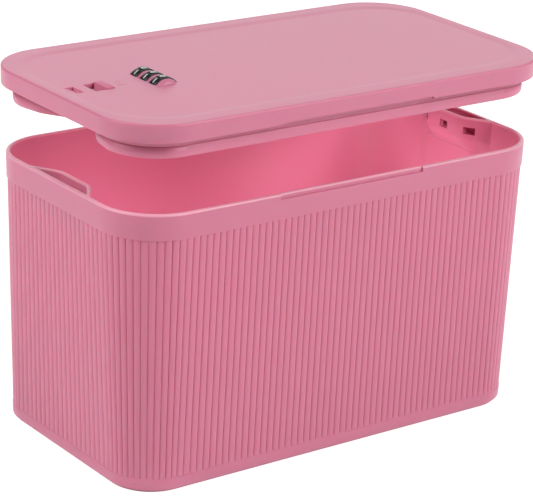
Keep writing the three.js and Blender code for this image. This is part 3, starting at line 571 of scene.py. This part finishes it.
def pocketMeshes(side):
    s, p = tubSettings, pocketSettings
    top, steps = s["height"], p["bowHalfSteps"]
    ys = [p["bowHalf"] * (k / steps - 1) for k in range(2 * steps + 1)]
    roundedTop = [(top - z, ease) for z, ease in rounded(p["bowRounding"], 4)]

    def facing(points):
        return list(reversed(points)) if side > 0 else [(-x, y, z) for x, y, z in points]

    def bulgeRing(z, share, ease=0.0):
        inside = tubHalfLength(z) - p["rimWall"]
        ring = [(inside + 1.2, p["bowHalf"], z), (inside + 1.2, -p["bowHalf"], z)]
        for y in ys:
            bow = max(bowAt(y) + bowHalfWall(y) - ease, 0)
            ring.append((inside - share * bow + (1 - share) * 0.3, y, z))
        return facing(ring)

    low = top - p["bowHeight"]
    shares = [(low - p["bowSlope"], 0), (low - 0.9, 0.93), (low, 0.985), (low + 0.9, 1)]
    rings = [bulgeRing(z, share) for z, share in shares] + [bulgeRing(z, 1, ease) for z, ease in roundedTop]
    bulge = loftMesh("bulge", rings)

    back = s["rimLength"] / 2 - p["pocketWall"]

    def faceAt(y, ease=0.0):
        return endFace - bowAt(y) + p["bowWall"] / 2 - ease

    inner = [y for y in ys if back - faceAt(y) > 0.3]

    def pocketRing(z, ease):
        return facing([(faceAt(y, ease), y, z) for y in inner] + [(back, inner[-1], z), (back, inner[0], z)])

    levels = [(top - p["pocketDepth"], 0)] + roundedTop + [(top + 1, p["bowRounding"])]
    voids = [loftMesh("pocket", [pocketRing(z, ease) for z, ease in levels])]
    slotZ = top - p["slotBelowRim"] - p["slotHeight"] / 2
    z0, z1 = slotZ - p["slotHeight"] / 2, slotZ + p["slotHeight"] / 2
    near = endFace - p["bowDepth"] - p["bowWall"]
    far = endFace - bowAt(p["slotPitch"] + p["slotWidth"] / 2) + p["bowWall"] / 2 + 0.3
    x0, x1 = sorted((side * near, side * far))
    half = p["slotWidth"] / 2
    voids += [boxMesh("slot", x0, x1, y - half, y + half, z0, z1) for y in slotYs]
    return bulge, voids


def rimNotches():
    s, p = tubSettings, pocketSettings
    top, half, edge = s["height"], p["notchLength"] / 2, s["rimWidth"] / 2
    notches = []
    for side in (1, -1):
        y0, y1 = sorted((side * (edge - p["notchWall"]), side * (edge + 1)))
        notches.append(boxMesh("notch", -half, half, y0, y1, top - p["notchDepth"], top + 1))
    return notches


def buildTub():
    s = tubSettings
    rows = tubProfile(s)
    section = linkObject("section", meshFrom("section", [(a * mm, b, c * mm) for a, b, c in rows], []))
    shell = linkObject("tubShell", bpy.data.meshes.new("tubShell"))
    wall = shell.modifiers.new("wall", "NODES")
    wall.node_group = buildWallTree()
    values = {"Section": section, "Rows": len(rows), "Material": tubPlastic}
    values.update({socketLabel(key): s[key] for key in wallCounts + wallShapes})
    values.update({socketLabel(key): s[key] * mm for key in wallLengths})
    setInputs(wall, values)
    bake(shell)
    bpy.data.objects.remove(section)
    editMesh(shell.data, closeHoles)
    bulges, voids = [], []
    for side in (-1, 1):
        bulge, holes = pocketMeshes(side)
        bulges.append(bulge)
        voids += holes
    combine(shell, bulges, "UNION")
    combine(shell, voids + rimNotches(), "DIFFERENCE")
    return finishMesh(shell, tubPlastic, 30)


# painted light: the tub's rim top is coloured paler, as if lit
addPaleRim(tubPlastic, tubSettings["paintedLightFrom"] * mm, tubSettings["paintedLightTo"] * mm)
tubShell = buildTub()
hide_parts("tub")
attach(tubShell, "tub")
print("tub shell:", len(tubShell.data.polygons), "faces")

# Lid

lidSettings = {
    "top": 237.0,
    "length": 326.0,
    "width": 181.0,
    "corner": 40.0,
    "edgeRounding": 1.3,
    "skirt": 11.5,
    "skirtLap": 4.0,
    "lapGap": 0.4,
    "ledgeSeat": 1.2,
    "endBorder": 6.0,
    "sideBorder": 12.3,
    "panelCorner": 40.0,
    "panelRecess": 0.5,
    "panelSlope": 7.0,
    "plate": 2.9,
    "plugGap": 1.0,
    "plugDepth": 11.5,
    "plugWall": 2.2,
    "stripHeight": 3.7,
    "stripStep": 0.8,
    "stripGroove": 0.6,
    "plugBowClearance": 2.1,
    "insideLow": -19.3,
    "reliefLength": 116.0,
    "reliefHeight": 1.6,
    "reliefDepth": 2.0,
    "scoopFromEnd": 11.0,
    "scoopLength": 7.5,
    "scoopHalfWidth": 6.5,
    "scoopDepth": 2.0,
    "tongueWidth": 6.5,
    "tongueThickness": 3.2,
    "tongueReach": 2.0,
    "tongueZ": -16.8,
    "tongueSlack": 0.4,
    "tonguePassage": (-156.6, -137.9),
}
lockSettings = {
    "middleY": 0.0,
    "dialX": -91.0,
    "axisZ": -6.65,
    "dialPitch": 10.4,
    "dialRadius": 10.0,
    "dialWidth": 6.8,
    "guardRadius": 9.2,
    "guardHalf": 17.8,
    "guardWall": 1.6,
    "guardRoomFront": 4.6,
    "guardRoomBack": 3.4,
    "sleeveRoom": 6.3,
    "sleeveRoomReach": 6.8,
    "collarRoom": 5.1,
    "collarRoomReach": 6.0,
    "knobX": -126.5,
    "knobLength": 5.6,
    "knobHalfWidth": 7.3,
    "knobProud": 1.0,
    "knobDepth": 7.0,
    "windowCollar": 1.2,
    "windowEdge": 0.5,
    "boltTravel": 7.5,
    "slideGap": 0.4,
    "gap": 0.3,
}
dialYs = [lockSettings["middleY"] + lockSettings["dialPitch"] * k for k in (1, 0, -1)]
plateUnder = -lidSettings["panelRecess"] - lidSettings["plate"]
plugFace = pocketSettings["rimWall"] + lidSettings["plugGap"]
plugBand = plugFace + lidSettings["stripStep"]


def plugFaceX(y):
    return endFace - bowAt(y) - pocketSettings["bowWall"] / 2 - lidSettings["plugBowClearance"]


def plugHollow(y):  # how far the plug's end keeps back from the catch wall's bow
    return max(0, endFace - lidSettings["plugGap"] - plugFaceX(y))


plugBow = {"half": pocketSettings["bowHalf"], "shape": plugHollow}


# Heights in the lid count from its top edge
def lidRing(z, inset):
    s = lidSettings
    return ringPoints(s["length"] / 2 - inset, s["width"] / 2 - inset, s["corner"] - inset, z + s["top"])


def panelRing(z, inset):
    s = lidSettings
    halfLength, halfWidth = s["length"] / 2 - s["endBorder"], s["width"] / 2 - s["sideBorder"]
    return ringPoints(halfLength - inset, halfWidth - inset, s["panelCorner"] - inset, z + s["top"])


def rimRing(z, inset, bow=None):
    t = tubSettings
    halfLength, halfWidth = t["rimLength"] / 2 - inset, t["rimWidth"] / 2 - inset
    return ringPoints(halfLength, halfWidth, t["rimCorner"] - inset, z + lidSettings["top"], bow)


def lidBox(x0, x1, y0, y1, z0, z1):
    top = lidSettings["top"]
    return boxMesh("part", x0, x1, y0, y1, z0 + top, z1 + top)


def dialRing(y, radii, angles):
    x, z = lockSettings["dialX"], lockSettings["axisZ"] + lidSettings["top"]
    return [(x + radius * math.cos(a), y, z + radius * math.sin(a)) for radius, a in zip(radii, angles)]


def aboutDials(profile, sides=120):  # profile of (y, radius) turned round the dials' axis
    return loftMesh("part", [dialRing(y, [radius] * sides, fullTurn(sides)) for y, radius in profile])


def sideways(outline, y0, y1):  # an outline of (x, z) points swept along Y
    return loftMesh("part", [[(x, y, z + lidSettings["top"]) for x, z in outline] for y in (y0, y1)])


def mergedCopy(name):  # a welded copy of a CAD node's loose triangles
    def weld(work):
        bmesh.ops.remove_doubles(work, verts=work.verts, dist=2e-6)
        bmesh.ops.dissolve_limit(work, angle_limit=math.radians(0.3), verts=work.verts, edges=work.edges)

    return editMesh(nodes[name].data.copy(), weld)


def lidCap():  # panel and skirt, open below
    s = lidSettings
    skirt, edge, slope = s["skirt"], s["edgeRounding"], s["panelSlope"]
    sections = [(-skirt, 0.55), (-skirt + 0.1, 0.33), (-skirt + 0.35, 0.2), (-edge, 0.02)]
    sections += [(-z, inset) for z, inset in rounded(edge, 5)[1:]]
    cap = linkObject("lidShell", loftMesh("lidShell", [lidRing(z, inset) for z, inset in sections]))
    fall = []
    for k in range(11):
        level = -s["panelRecess"] * (1 + math.cos(math.pi * k / 10)) / 2
        fall.append((level, slope * (0.7 - k / 10)))
    fall.append((0.8, -0.3 * slope - 0.1))
    voids = [loftMesh("panel", [panelRing(z, inset) for z, inset in fall])]
    voids.append(loftMesh("hollow", [rimRing(z, s["ledgeSeat"]) for z in (-skirt - 1, plateUnder)]))
    voids.append(loftMesh("lap", [rimRing(z, -s["lapGap"]) for z in (-skirt - 1, s["skirtLap"] - skirt)]))
    half = s["reliefLength"] / 2
    for side in (-1, 1):
        y0, y1 = sorted((side * (s["width"] / 2 - s["reliefDepth"]), side * (s["width"] / 2 + 1)))
        voids.append(lidBox(-half, half, y0, y1, -skirt - 1, -skirt + s["reliefHeight"]))
    return combine(cap, voids, "DIFFERENCE")


def lidPlug():  # the band that drops into the tub, with a strip and a groove under the skirt
    s, face, band = lidSettings, plugFace, plugBand
    low, strip = -s["skirt"] - s["plugDepth"], -s["skirt"] - s["stripHeight"]
    groove, inside = band + s["stripGroove"], band + s["plugWall"]
    outside = [(low, band + 1.0), (low + 0.25, band + 0.5), (low + 1.2, band + 0.1), (low + 2.4, band)]
    outside += [(strip - 0.8, band), (strip - 0.65, groove), (strip - 0.2, groove)]
    outside += [(strip - 0.05, face + 0.5), (strip, face + 0.3), (strip + 0.12, face + 0.08)]
    outside += [(strip + 0.35, face), (plateUnder + lockSettings["gap"], face)]
    plug = linkObject("plug", loftMesh("plug", [rimRing(z, inset, plugBow) for z, inset in outside]))
    core = [(low - 1, inside - 0.5), (low + 0.5, inside), (plateUnder, inside)]
    return combine(plug, [loftMesh("core", [rimRing(z, inset, plugBow) for z, inset in core])], "DIFFERENCE")


def lidInside():  # ribs, rails, bosses and cheeks inside the plug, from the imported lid
    inner = linkObject("inner", mergedCopy("lid"))
    levels = (lidSettings["insideLow"], plateUnder + lockSettings["gap"])
    reach = plugBand + lidSettings["plugWall"] - 0.15
    return combine(inner, [loftMesh("region", [rimRing(z, reach, plugBow) for z in levels])], "INTERSECT")


def dialGuard():
    q, radius = lockSettings, lockSettings["guardRadius"]
    y0, y1 = q["middleY"] - q["guardHalf"], q["middleY"] + q["guardHalf"]
    taper = ((0, 3.4), (0.2, 2.5), (0.5, 1.7), (0.9, 1.1), (1.5, 0.6), (2.3, 0.2), (3.3, 0))
    profile = [(y0 + step, radius - drop) for step, drop in taper]
    profile += [(y1 - step, radius - drop) for step, drop in reversed(taper)]
    guard = linkObject("guard", aboutDials(profile))
    reach = radius + 1
    above = lidBox(q["dialX"] - reach, q["dialX"] + reach, y0 - 1, y1 + 1, plateUnder + q["gap"], 5)
    return combine(guard, [above], "INTERSECT")


def dialRooms():  # for the dials, and inside the guard for sleeves and collar
    q = lockSettings
    half, clear = q["dialWidth"] / 2 + q["gap"], q["dialRadius"] + q["slideGap"]
    rooms = [(y - half, y + half, clear) for y in dialYs]
    hollow = q["guardRadius"] - q["guardWall"]
    rooms.append((dialYs[2] - q["guardRoomFront"], dialYs[0] + q["guardRoomBack"], hollow))
    rooms.append((dialYs[2] - q["sleeveRoomReach"], dialYs[2], q["sleeveRoom"]))
    rooms.append((q["middleY"], dialYs[0] + q["collarRoomReach"], q["collarRoom"]))
    return [aboutDials([(y0, radius), (y1, radius)]) for y0, y1, radius in rooms]


def windowReach():  # ends and half width of the knob's window
    q = lockSettings
    half = q["knobLength"] / 2 + q["gap"]
    return q["knobX"] - half - q["boltTravel"], q["knobX"] + half, q["knobHalfWidth"] + q["slideGap"]


def windowCheeks():
    q = lockSettings
    x0, x1, half = windowReach()
    cheeks = []
    for side in (-1, 1):
        reaches = (half - 0.1, half + q["windowCollar"])
        y0, y1 = sorted(q["middleY"] + side * reach for reach in reaches)
        cheeks.append(lidBox(x0, x1, y0, y1, -q["knobDepth"] + 0.5, plateUnder + q["gap"]))
    return cheeks


def knobWindow():
    q = lockSettings
    level, edge = -lidSettings["panelRecess"], q["windowEdge"]
    steps = [(-q["knobDepth"] - 1, 0), (level - edge, 0), (level - 0.3 * edge, 0.3 * edge)]
    steps += [(level + 0.01, edge), (1, edge)]
    rings = []
    for z, wide in steps:
        left, right, half = windowReach()
        x0, x1, y, height = left - wide, right + wide, half + wide, z + lidSettings["top"]
        outline = [(x0, -y), (x1, -y), (x1, y), (x0, y)]
        rings.append([(a, q["middleY"] + b, height) for a, b in outline])
    return loftMesh("window", rings)


def fingerScoop():
    s, middle = lidSettings, lockSettings["middleY"]
    left = s["scoopFromEnd"] - s["length"] / 2
    right, level = left + s["scoopLength"], -s["panelRecess"]
    deep, over = level - s["scoopDepth"], level + lockSettings["gap"]
    outline = [(left, over), (left + 0.8, level), (right - 0.3, deep), (right, deep + 0.2), (right, over)]
    return sideways(outline, middle - s["scoopHalfWidth"], middle + s["scoopHalfWidth"])


def fixedTongue(y):
    s = lidSettings
    half = s["tongueWidth"] / 2
    pitch = pocketSettings["slotPitch"]
    ends = [(plugFaceX(min(abs(y + k * half), pitch)) + s["tongueReach"], y + k * half) for k in (-1, 0, 1)]
    root = plugFaceX(y) - s["plugWall"] / 2
    outline = [(root, y - half)] + ends + [(root, y + half)]
    low, high = s["tongueZ"] - s["tongueThickness"] / 2, s["tongueZ"] + s["tongueThickness"] / 2
    return loftMesh("tongue", [[(x, v, z + s["top"]) for x, v in outline] for z in (low, high)])


def tonguePassage(y):  # lets a tongue of the bolt out at the lock end
    s = lidSettings
    x0, x1 = s["tonguePassage"]
    wide, tall = s["tongueWidth"] / 2 + s["tongueSlack"], s["tongueThickness"] / 2 + s["tongueSlack"]
    return lidBox(x0, x1, y - wide, y + wide, s["tongueZ"] - tall, s["tongueZ"] + tall)


def buildLid():
    lid = lidCap()
    added = [lidPlug(), lidInside(), dialGuard()] + windowCheeks()
    combine(lid, added + [fixedTongue(y) for y in slotYs], "UNION")
    voids = dialRooms() + [knobWindow(), fingerScoop()]
    combine(lid, voids + [tonguePassage(y) for y in slotYs], "DIFFERENCE")
    return finishMesh(lid, pinkPlastic, 30)


lidShell = buildLid()
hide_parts("lid")
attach(lidShell, "lid")
print("lid shell:", len(lidShell.data.polygons), "faces")

# Dials and digits

dialSettings = {
    "radius": 9.92,
    "edge": 0.35,
    "bore": 5.0,
    "socket": 5.95,
    "socketLength": 1.5,
    "notchDepth": 0.5,
    "notchHalfAngle": 4.0,
    "digitBand": 0.55,
    "digitHeight": 3.8,
    "digitStretch": 1.15,
    "digitWeight": 0.014,
    "digitLift": 0.02,
    "digitThickness": 0.05,
}


def buildDial(number, y):
    s = dialSettings
    # degrees from a notch's middle, and share of its depth there
    notch = ((0, 1), (1.3, 0.8), (2.9, 0.3), (s["notchHalfAngle"], 0))
    outline, plain = [], 36 - 2 * s["notchHalfAngle"]
    for k in range(10):
        outline += [(36 * k + turn, dip * s["notchDepth"]) for turn, dip in notch]
        outline += [(36 * k + s["notchHalfAngle"] + plain * step / 10, 0) for step in range(1, 11)]
        outline += [(36 * (k + 1) - turn, dip * s["notchDepth"]) for turn, dip in notch[2:0:-1]]
    angles = [math.radians(turn) for turn, sink in outline]
    radii = [s["radius"] - sink for turn, sink in outline]
    half, edge = lockSettings["dialWidth"] / 2, s["edge"]
    rims = [(-half, -edge), (-half + 0.1, -0.12), (-half + edge, 0)]
    rims += [(-level, change) for level, change in reversed(rims)]
    rings = [dialRing(y + level, [radius + change for radius in radii], angles) for level, change in rims]
    shelf = -half + s["socketLength"]
    bores = ((half, s["bore"]), (shelf, s["bore"]), (shelf, s["socket"]), (-half, s["socket"]))
    rings += [dialRing(y + level, [radius] * len(angles), angles) for level, radius in bores]
    name = f"numberDial{number}"
    return finishMesh(linkObject(name, loftMesh(name, rings, loop=True)), blackPlastic, 40)


def digitMesh(digit):  # one digit, flat, centred and cut into bands so that it can bend round the dial
    s = dialSettings
    curve = bpy.data.curves.new("digit", "FONT")
    curve.body = str(digit)
    curve.size = 1
    curve.resolution_u = 6
    curve.offset = s["digitWeight"]
    holder = linkObject("digit", curve)
    flat = evaluatedMesh(holder)
    bpy.data.objects.remove(holder)
    work = bmesh.new()
    work.from_mesh(flat)
    bmesh.ops.remove_doubles(work, verts=work.verts, dist=1e-5)
    low = Vector((min(v.co.x for v in work.verts), min(v.co.y for v in work.verts), 0))
    high = Vector((max(v.co.x for v in work.verts), max(v.co.y for v in work.verts), 0))
    scale = s["digitHeight"] / (high.y - low.y)
    for v in work.verts:
        v.co = (v.co - (low + high) / 2) * scale
        v.co.x *= s["digitStretch"]
        v.co.z = 0
    for k in range(-3, 4):
        every = work.verts[:] + work.edges[:] + work.faces[:]
        bmesh.ops.bisect_plane(work, geom=every, plane_co=(0, k * s["digitBand"], 0), plane_no=(0, 1, 0))
    top = bmesh.ops.extrude_face_region(work, geom=work.faces[:])["geom"]
    for item in top:
        if isinstance(item, bmesh.types.BMVert):
            item.co.z += s["digitThickness"]
    bmesh.ops.recalc_face_normals(work, faces=work.faces)
    return work


def buildDigits(number, y):
    s, q = dialSettings, lockSettings
    axisZ = q["axisZ"] + lidSettings["top"]
    work = bmesh.new()
    for digit in range(10):
        glyph = digitMesh(digit)
        for v in glyph.verts:
            radius = s["radius"] + s["digitLift"] + v.co.z
            angle = math.radians(90 + 36 * digit) - v.co.y / s["radius"]
            place = (q["dialX"] + radius * math.cos(angle), y - v.co.x, axisZ + radius * math.sin(angle))
            v.co = Vector(place) * mm
        work.from_mesh(meshOf("glyph", glyph))
    bmesh.ops.recalc_face_normals(work, faces=work.faces)
    name = f"dialDigits{number}"
    return finishMesh(linkObject(name, meshOf(name, work)), digitPaint, 40)


for number, y in enumerate(dialYs, 1):
    dial = buildDial(number, y)
    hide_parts(f"number_dial_{number}")
    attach(dial, f"dial_{number}")
    digits = buildDigits(number, y)
    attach(digits, f"dial_{number}")
print("dials ready")

# Slider knob

knobSettings = {
    "rounding": 0.45,
    "neckHalfLength": 2.2,
    "neckShoulder": 2.3,
    "neckLow": -16.9,
    "neckHigh": -2.8,
    "shutterLength": 3.0,
    "shutterTop": -3.75,
    "gripPitch": 1.5,
    "gripRadius": 0.5,
    "boreRadius": 1.3,
    "boreTop": -10.4,
}


def roundedBox(x, y, z, radius, segments=4):  # x, y and z are pairs of ends
    work = bmesh.new()
    bmesh.ops.create_cube(work, size=1)
    for v in work.verts:
        place = [(low + high) / 2 + share * (high - low) for share, (low, high) in zip(v.co, (x, y, z))]
        v.co = (Vector(place) + Vector((0, 0, lidSettings["top"]))) * mm
    cut = {"offset": radius * mm, "segments": segments, "profile": 0.5, "affect": "EDGES"}
    bmesh.ops.bevel(work, geom=work.edges[:], **cut)
    return meshOf("part", work)


def buildKnob():
    s, q, top = knobSettings, lockSettings, lidSettings["top"]
    middleX, middleY = q["knobX"], q["middleY"]
    x0, x1 = middleX - q["knobLength"] / 2, middleX + q["knobLength"] / 2
    y0, y1 = middleY - q["knobHalfWidth"], middleY + q["knobHalfWidth"]
    high = -lidSettings["panelRecess"] + q["knobProud"]
    knob = linkObject("sliderKnob", roundedBox((x0, x1), (y0, y1), (-q["knobDepth"], high), s["rounding"]))
    long, ends, under = s["neckHalfLength"], (s["neckLow"], s["neckHigh"]), s["shutterTop"]
    neck = lidBox(middleX - long, middleX + long, y0 + s["neckShoulder"], y1 - s["neckShoulder"], *ends)
    shutter = lidBox(x0 - s["shutterLength"], x0 + 1, y0 + 0.3, y1 - 0.3, under - 1, under)
    combine(knob, [neck, shutter], "UNION")
    voids = []
    turns = [math.pi + math.pi * step / 16 for step in range(17)]
    for k in (-1, 0, 1):
        grip = arc(middleX + s["gripPitch"] * k, high + 0.1, s["gripRadius"], turns)
        voids.append(sideways(grip, y0 - 1, y1 + 1))
    hole = arc(middleX, middleY, s["boreRadius"], fullTurn(24))
    levels = (s["neckLow"] - 1.1 + top, s["boreTop"] + top)
    voids.append(loftMesh("bore", [[(x, y, z) for x, y in hole] for z in levels]))
    combine(knob, voids, "DIFFERENCE")
    return finishMesh(knob, pinkPlastic, 35)


sliderKnob = buildKnob()
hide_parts("slider_knob")
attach(sliderKnob, "latch")
print("knob ready")

# Lock sign

signSettings = {
    "middle": (-115.3, -1.6),
    "bodyLength": 5.6,
    "bodyWidth": 4.2,
    "bodyCorner": 0.8,
    "shackleRadius": 1.7,
    "shackleBar": 0.7,
    "shackleLeg": 1.4,
    "proud": 0.16,
    "sunk": 0.1,
}


def buildSign():  # low relief of a padlock on the panel, beside the slider
    s = signSettings
    x, y = s["middle"]
    top = lidSettings["top"] - lidSettings["panelRecess"]
    levels = ((-s["sunk"], 0), (s["proud"] - 0.06, 0), (s["proud"], 0.08))
    halfLength, halfWidth = s["bodyLength"] / 2, s["bodyWidth"] / 2
    rings = []
    for level, ease in levels:
        ring = ringPoints(halfLength - ease, halfWidth - ease, s["bodyCorner"] - ease, top + level, steps=5)
        rings.append([(a + x, b + y, c) for a, b, c in ring])
    sign = linkObject("lockSign", loftMesh("lockSign", rings))
    foot = y + halfWidth - 0.3
    middle = (x, foot + s["shackleLeg"])
    turns = [math.radians(15 * k) for k in range(13)]
    rings = []
    for level, ease in levels:
        outside = s["shackleRadius"] + s["shackleBar"] / 2 - ease
        inside = s["shackleRadius"] - s["shackleBar"] / 2 + ease
        ring = [(x + outside, foot)] + arc(*middle, outside, turns) + [(x - outside, foot)]
        ring += [(x - inside, foot)] + arc(*middle, inside, reversed(turns)) + [(x + inside, foot)]
        rings.append([(a, b, top + level) for a, b in ring])
    combine(sign, [loftMesh("shackle", rings)], "UNION")
    return finishMesh(sign, signPlastic, 15)


lockSign = buildSign()
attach(lockSign, "lid")

# Screws

screwSettings = {
    "headHeight": 1.1,
    "headRounding": 0.35,
    "driveHalf": 0.35,
    "driveShare": 0.6,
    "driveDepth": 0.6,
    "threadStart": 0.6,
    "threadPitch": 1.0,
    "threadDepth": 0.18,
    "tip": 1.5,
    "tipRadius": 0.25,
    "sides": 40,
}


def nodeBox(name):  # corners of a CAD node, in mm
    points = [v.co for v in nodes[name].data.vertices]
    return [(min(p[k] for p in points) / mm, max(p[k] for p in points) / mm) for k in range(3)]


def screwMesh(radius, headRadius, length):  # head down, seat at zero, shank up
    s = screwSettings
    low = -s["headHeight"]
    profile = [(low + z, headRadius - x) for x, z in rounded(s["headRounding"], 4)]
    profile += [(0, headRadius), (0, radius)]
    root, pitch, start = radius - s["threadDepth"], s["threadPitch"], s["threadStart"]
    turns = int((length - s["tip"]) / pitch)
    for k in range(turns):
        profile += [(start + k * pitch, root), (start + (k + 0.5) * pitch, radius)]
    profile += [(start + turns * pitch, root), (length, s["tipRadius"])]
    rings = [[(x, y, z) for x, y in arc(0, 0, r, fullTurn(s["sides"]))] for z, r in profile]
    screw = linkObject("screw", loftMesh("screw", rings))
    reach, half = headRadius * s["driveShare"], s["driveHalf"]
    drives = ((reach, half), (half, reach))
    cross = [boxMesh("drive", -x, x, -y, y, low - 1, low + s["driveDepth"]) for x, y in drives]
    return combine(screw, cross, "DIFFERENCE")


def buildScrewTree():  # one screw on each given point
    ins = [("Places", "Object"), ("Screw", "Object"), ("Turn Step", "Float"), ("Material", "Material")]
    tree, given, result = newTree("Geometry", "screwRow", ins, [("Geometry", "Geometry")])
    add, calc = adder(tree), calculator(tree)
    places = add("GeometryNodeObjectInfo", {"Object": given["Places"]}).outputs["Geometry"]
    screw = add("GeometryNodeObjectInfo", {"Object": given["Screw"]}).outputs["Geometry"]
    angle = calc("MULTIPLY", add("GeometryNodeInputIndex").outputs[0], given["Turn Step"])
    spin = add("ShaderNodeCombineXYZ", {"Z": angle}).outputs[0]
    row = add("GeometryNodeInstanceOnPoints", {"Points": places, "Instance": screw, "Rotation": spin})
    real = add("GeometryNodeRealizeInstances", {0: row.outputs[0]})
    paint = add("GeometryNodeSetMaterial", {"Geometry": real.outputs[0], "Material": given["Material"]})
    feed(result[0], paint.outputs[0])
    return tree


screwTree = buildScrewTree()


def buildScrews(name, body, radius, replaced):
    boxes = [nodeBox(node) for node in replaced]
    seats = [((x[0] + x[1]) / 2, (y[0] + y[1]) / 2, z[0] + screwSettings["headHeight"]) for x, y, z in boxes]
    x, y, z = boxes[0]
    screw = screwMesh(radius, (x[1] - x[0]) / 2, z[1] - z[0] - screwSettings["headHeight"])
    places = linkObject("places", meshFrom("places", [tuple(v * mm for v in seat) for seat in seats], []))
    holder = linkObject(name, bpy.data.meshes.new(name))
    row = holder.modifiers.new("row", "NODES")
    row.node_group = screwTree
    setInputs(row, {"Places": places, "Screw": screw, "Turn Step": 0.7, "Material": platedSteel})
    bake(holder)
    bpy.data.objects.remove(places)
    bpy.data.objects.remove(screw)
    finishMesh(holder, platedSteel, 30)
    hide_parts(*replaced)
    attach(holder, body)


buildScrews("coverScrews", "lid", 1.2, [f"cover_screw_{k}" for k in (1, 2, 3, 4)])
buildScrews("clickScrews", "lid", 1.0, ["click_spring_screw_1", "click_spring_screw_2"])
buildScrews("sliderScrew", "latch", 1.0, ["knob_screw"])
print("sign and screws ready")

# Camera, floor and light

cameraSettings = {
    "focalPixels": 2482.1147,
    "imageWidth": 533,
    "sensor": 36,
    "place": (-0.9056287, -1.2163878, 0.6586643),
    "yaw": 0.6403,
    "pitch": 0.3483,
    "roll": 0.0404,
}
stageSettings = {
    "floorHalf": 6.0,
    "floorTone": 0.95,
    "floorSeenTone": 0.42,
    "floorOwnLight": 0.85,
    "worldLight": 0.5,
    "worldSeen": 0.5,
}
lampSettings = {
    "boxLeft": {"place": (-1.8, 0.5, 1.6), "aim": (0, 0, 0.16), "size": (1.6, 1.2), "power": 41},
    "boxRight": {"place": (1.0, -1.9, 1.6), "aim": (0, 0, 0.16), "size": (1.6, 1.2), "power": 53},
    "boxBack": {"place": (1.3, 1.8, 0.9), "aim": (0, 0, 0.2), "size": (3.0, 1.2), "power": 15},
}
fillSettings = {"offset": 0.09, "height": 0.13, "radius": 0.04, "power": 0.17}


def buildCamera(s):
    yaw, pitch, roll = s["yaw"], s["pitch"], s["roll"]
    forward = Vector((math.cos(pitch) * math.sin(yaw), math.cos(pitch) * math.cos(yaw), -math.sin(pitch)))
    right = Vector((math.cos(yaw), -math.sin(yaw), 0))
    up = right.cross(forward)
    across = math.cos(roll) * right + math.sin(roll) * up
    upward = -math.sin(roll) * right + math.cos(roll) * up
    data = bpy.data.cameras.new("camera")
    data.sensor_width = s["sensor"]
    data.lens = s["focalPixels"] / s["imageWidth"] * s["sensor"]
    data.clip_end = 20
    camera = linkObject("camera", data)
    turn = Matrix((across, upward, -forward)).transposed().to_4x4()
    camera.matrix_world = Matrix.Translation(s["place"]) @ turn
    bpy.context.scene.camera = camera


def rayShare(tree):  # 1 where a ray comes from the camera, a mirror or through glass
    paths, calc = tree.nodes.new("ShaderNodeLightPath").outputs, calculator(tree)
    mirrored = calc("MAXIMUM", paths["Is Camera Ray"], paths["Is Glossy Ray"])
    return calc("MAXIMUM", mirrored, paths["Is Transmission Ray"])


def buildFloor(s):
    half = s["floorHalf"]
    corners = [(-half, -half, 0), (half, -half, 0), (half, half, 0), (-half, half, 0)]
    mesh = meshFrom("floor", corners, [(0, 1, 2, 3)])
    floor = linkObject("floor", mesh)
    material = bpy.data.materials.new("floorPaper")
    material.use_nodes = True
    tree = material.node_tree
    tree.nodes.clear()
    add, seen = adder(tree), rayShare(tree)
    tones = {"Value": seen, "To Min": s["floorTone"], "To Max": s["floorSeenTone"]}
    matte = add("ShaderNodeBsdfDiffuse", {"Color": add("ShaderNodeMapRange", tones).outputs["Result"]})
    strength = calculator(tree)("MULTIPLY", seen, s["floorOwnLight"])
    glow = add("ShaderNodeEmission", {"Color": (1, 1, 1, 1), "Strength": strength})
    both = add("ShaderNodeAddShader", {0: matte.outputs[0], 1: glow.outputs[0]})
    add("ShaderNodeOutputMaterial", {"Surface": both.outputs[0]})
    mesh.materials.append(material)


def buildWorld(s):
    world = bpy.data.worlds.new("studio")
    bpy.context.scene.world = world
    world.use_nodes = True
    tree = world.node_tree
    shade = calculator(tree)("MULTIPLY_ADD", rayShare(tree), s["worldSeen"], s["worldLight"])
    feed(tree.nodes["Background"].inputs["Strength"], shade)


def areaLight(name, s):
    data = bpy.data.lights.new(name, "AREA")
    data.shape = "RECTANGLE"
    data.size, data.size_y = s["size"]
    data.energy = s["power"]
    lamp = linkObject(name, data)
    aim = (Vector(s["aim"]) - Vector(s["place"])).to_track_quat("-Z", "Y")
    lamp.matrix_world = Matrix.LocRotScale(Vector(s["place"]), aim, None)


def insideLight(side):  # soft fill inside the tub, seen by no camera or mirror
    s = fillSettings
    data = bpy.data.lights.new("insideFill", "POINT")
    data.shadow_soft_size = s["radius"]
    data.energy = s["power"]
    lamp = linkObject("insideFill", data)
    lamp.location = (s["offset"] * side, 0, s["height"])
    lamp.visible_camera = False
    lamp.visible_glossy = False


bpy.context.scene.view_settings.view_transform = "Standard"
buildCamera(cameraSettings)
buildFloor(stageSettings)
buildWorld(stageSettings)
for name, settings in lampSettings.items():
    areaLight(name, settings)
for side in (-1, 1):
    insideLight(side)
print("stage ready")
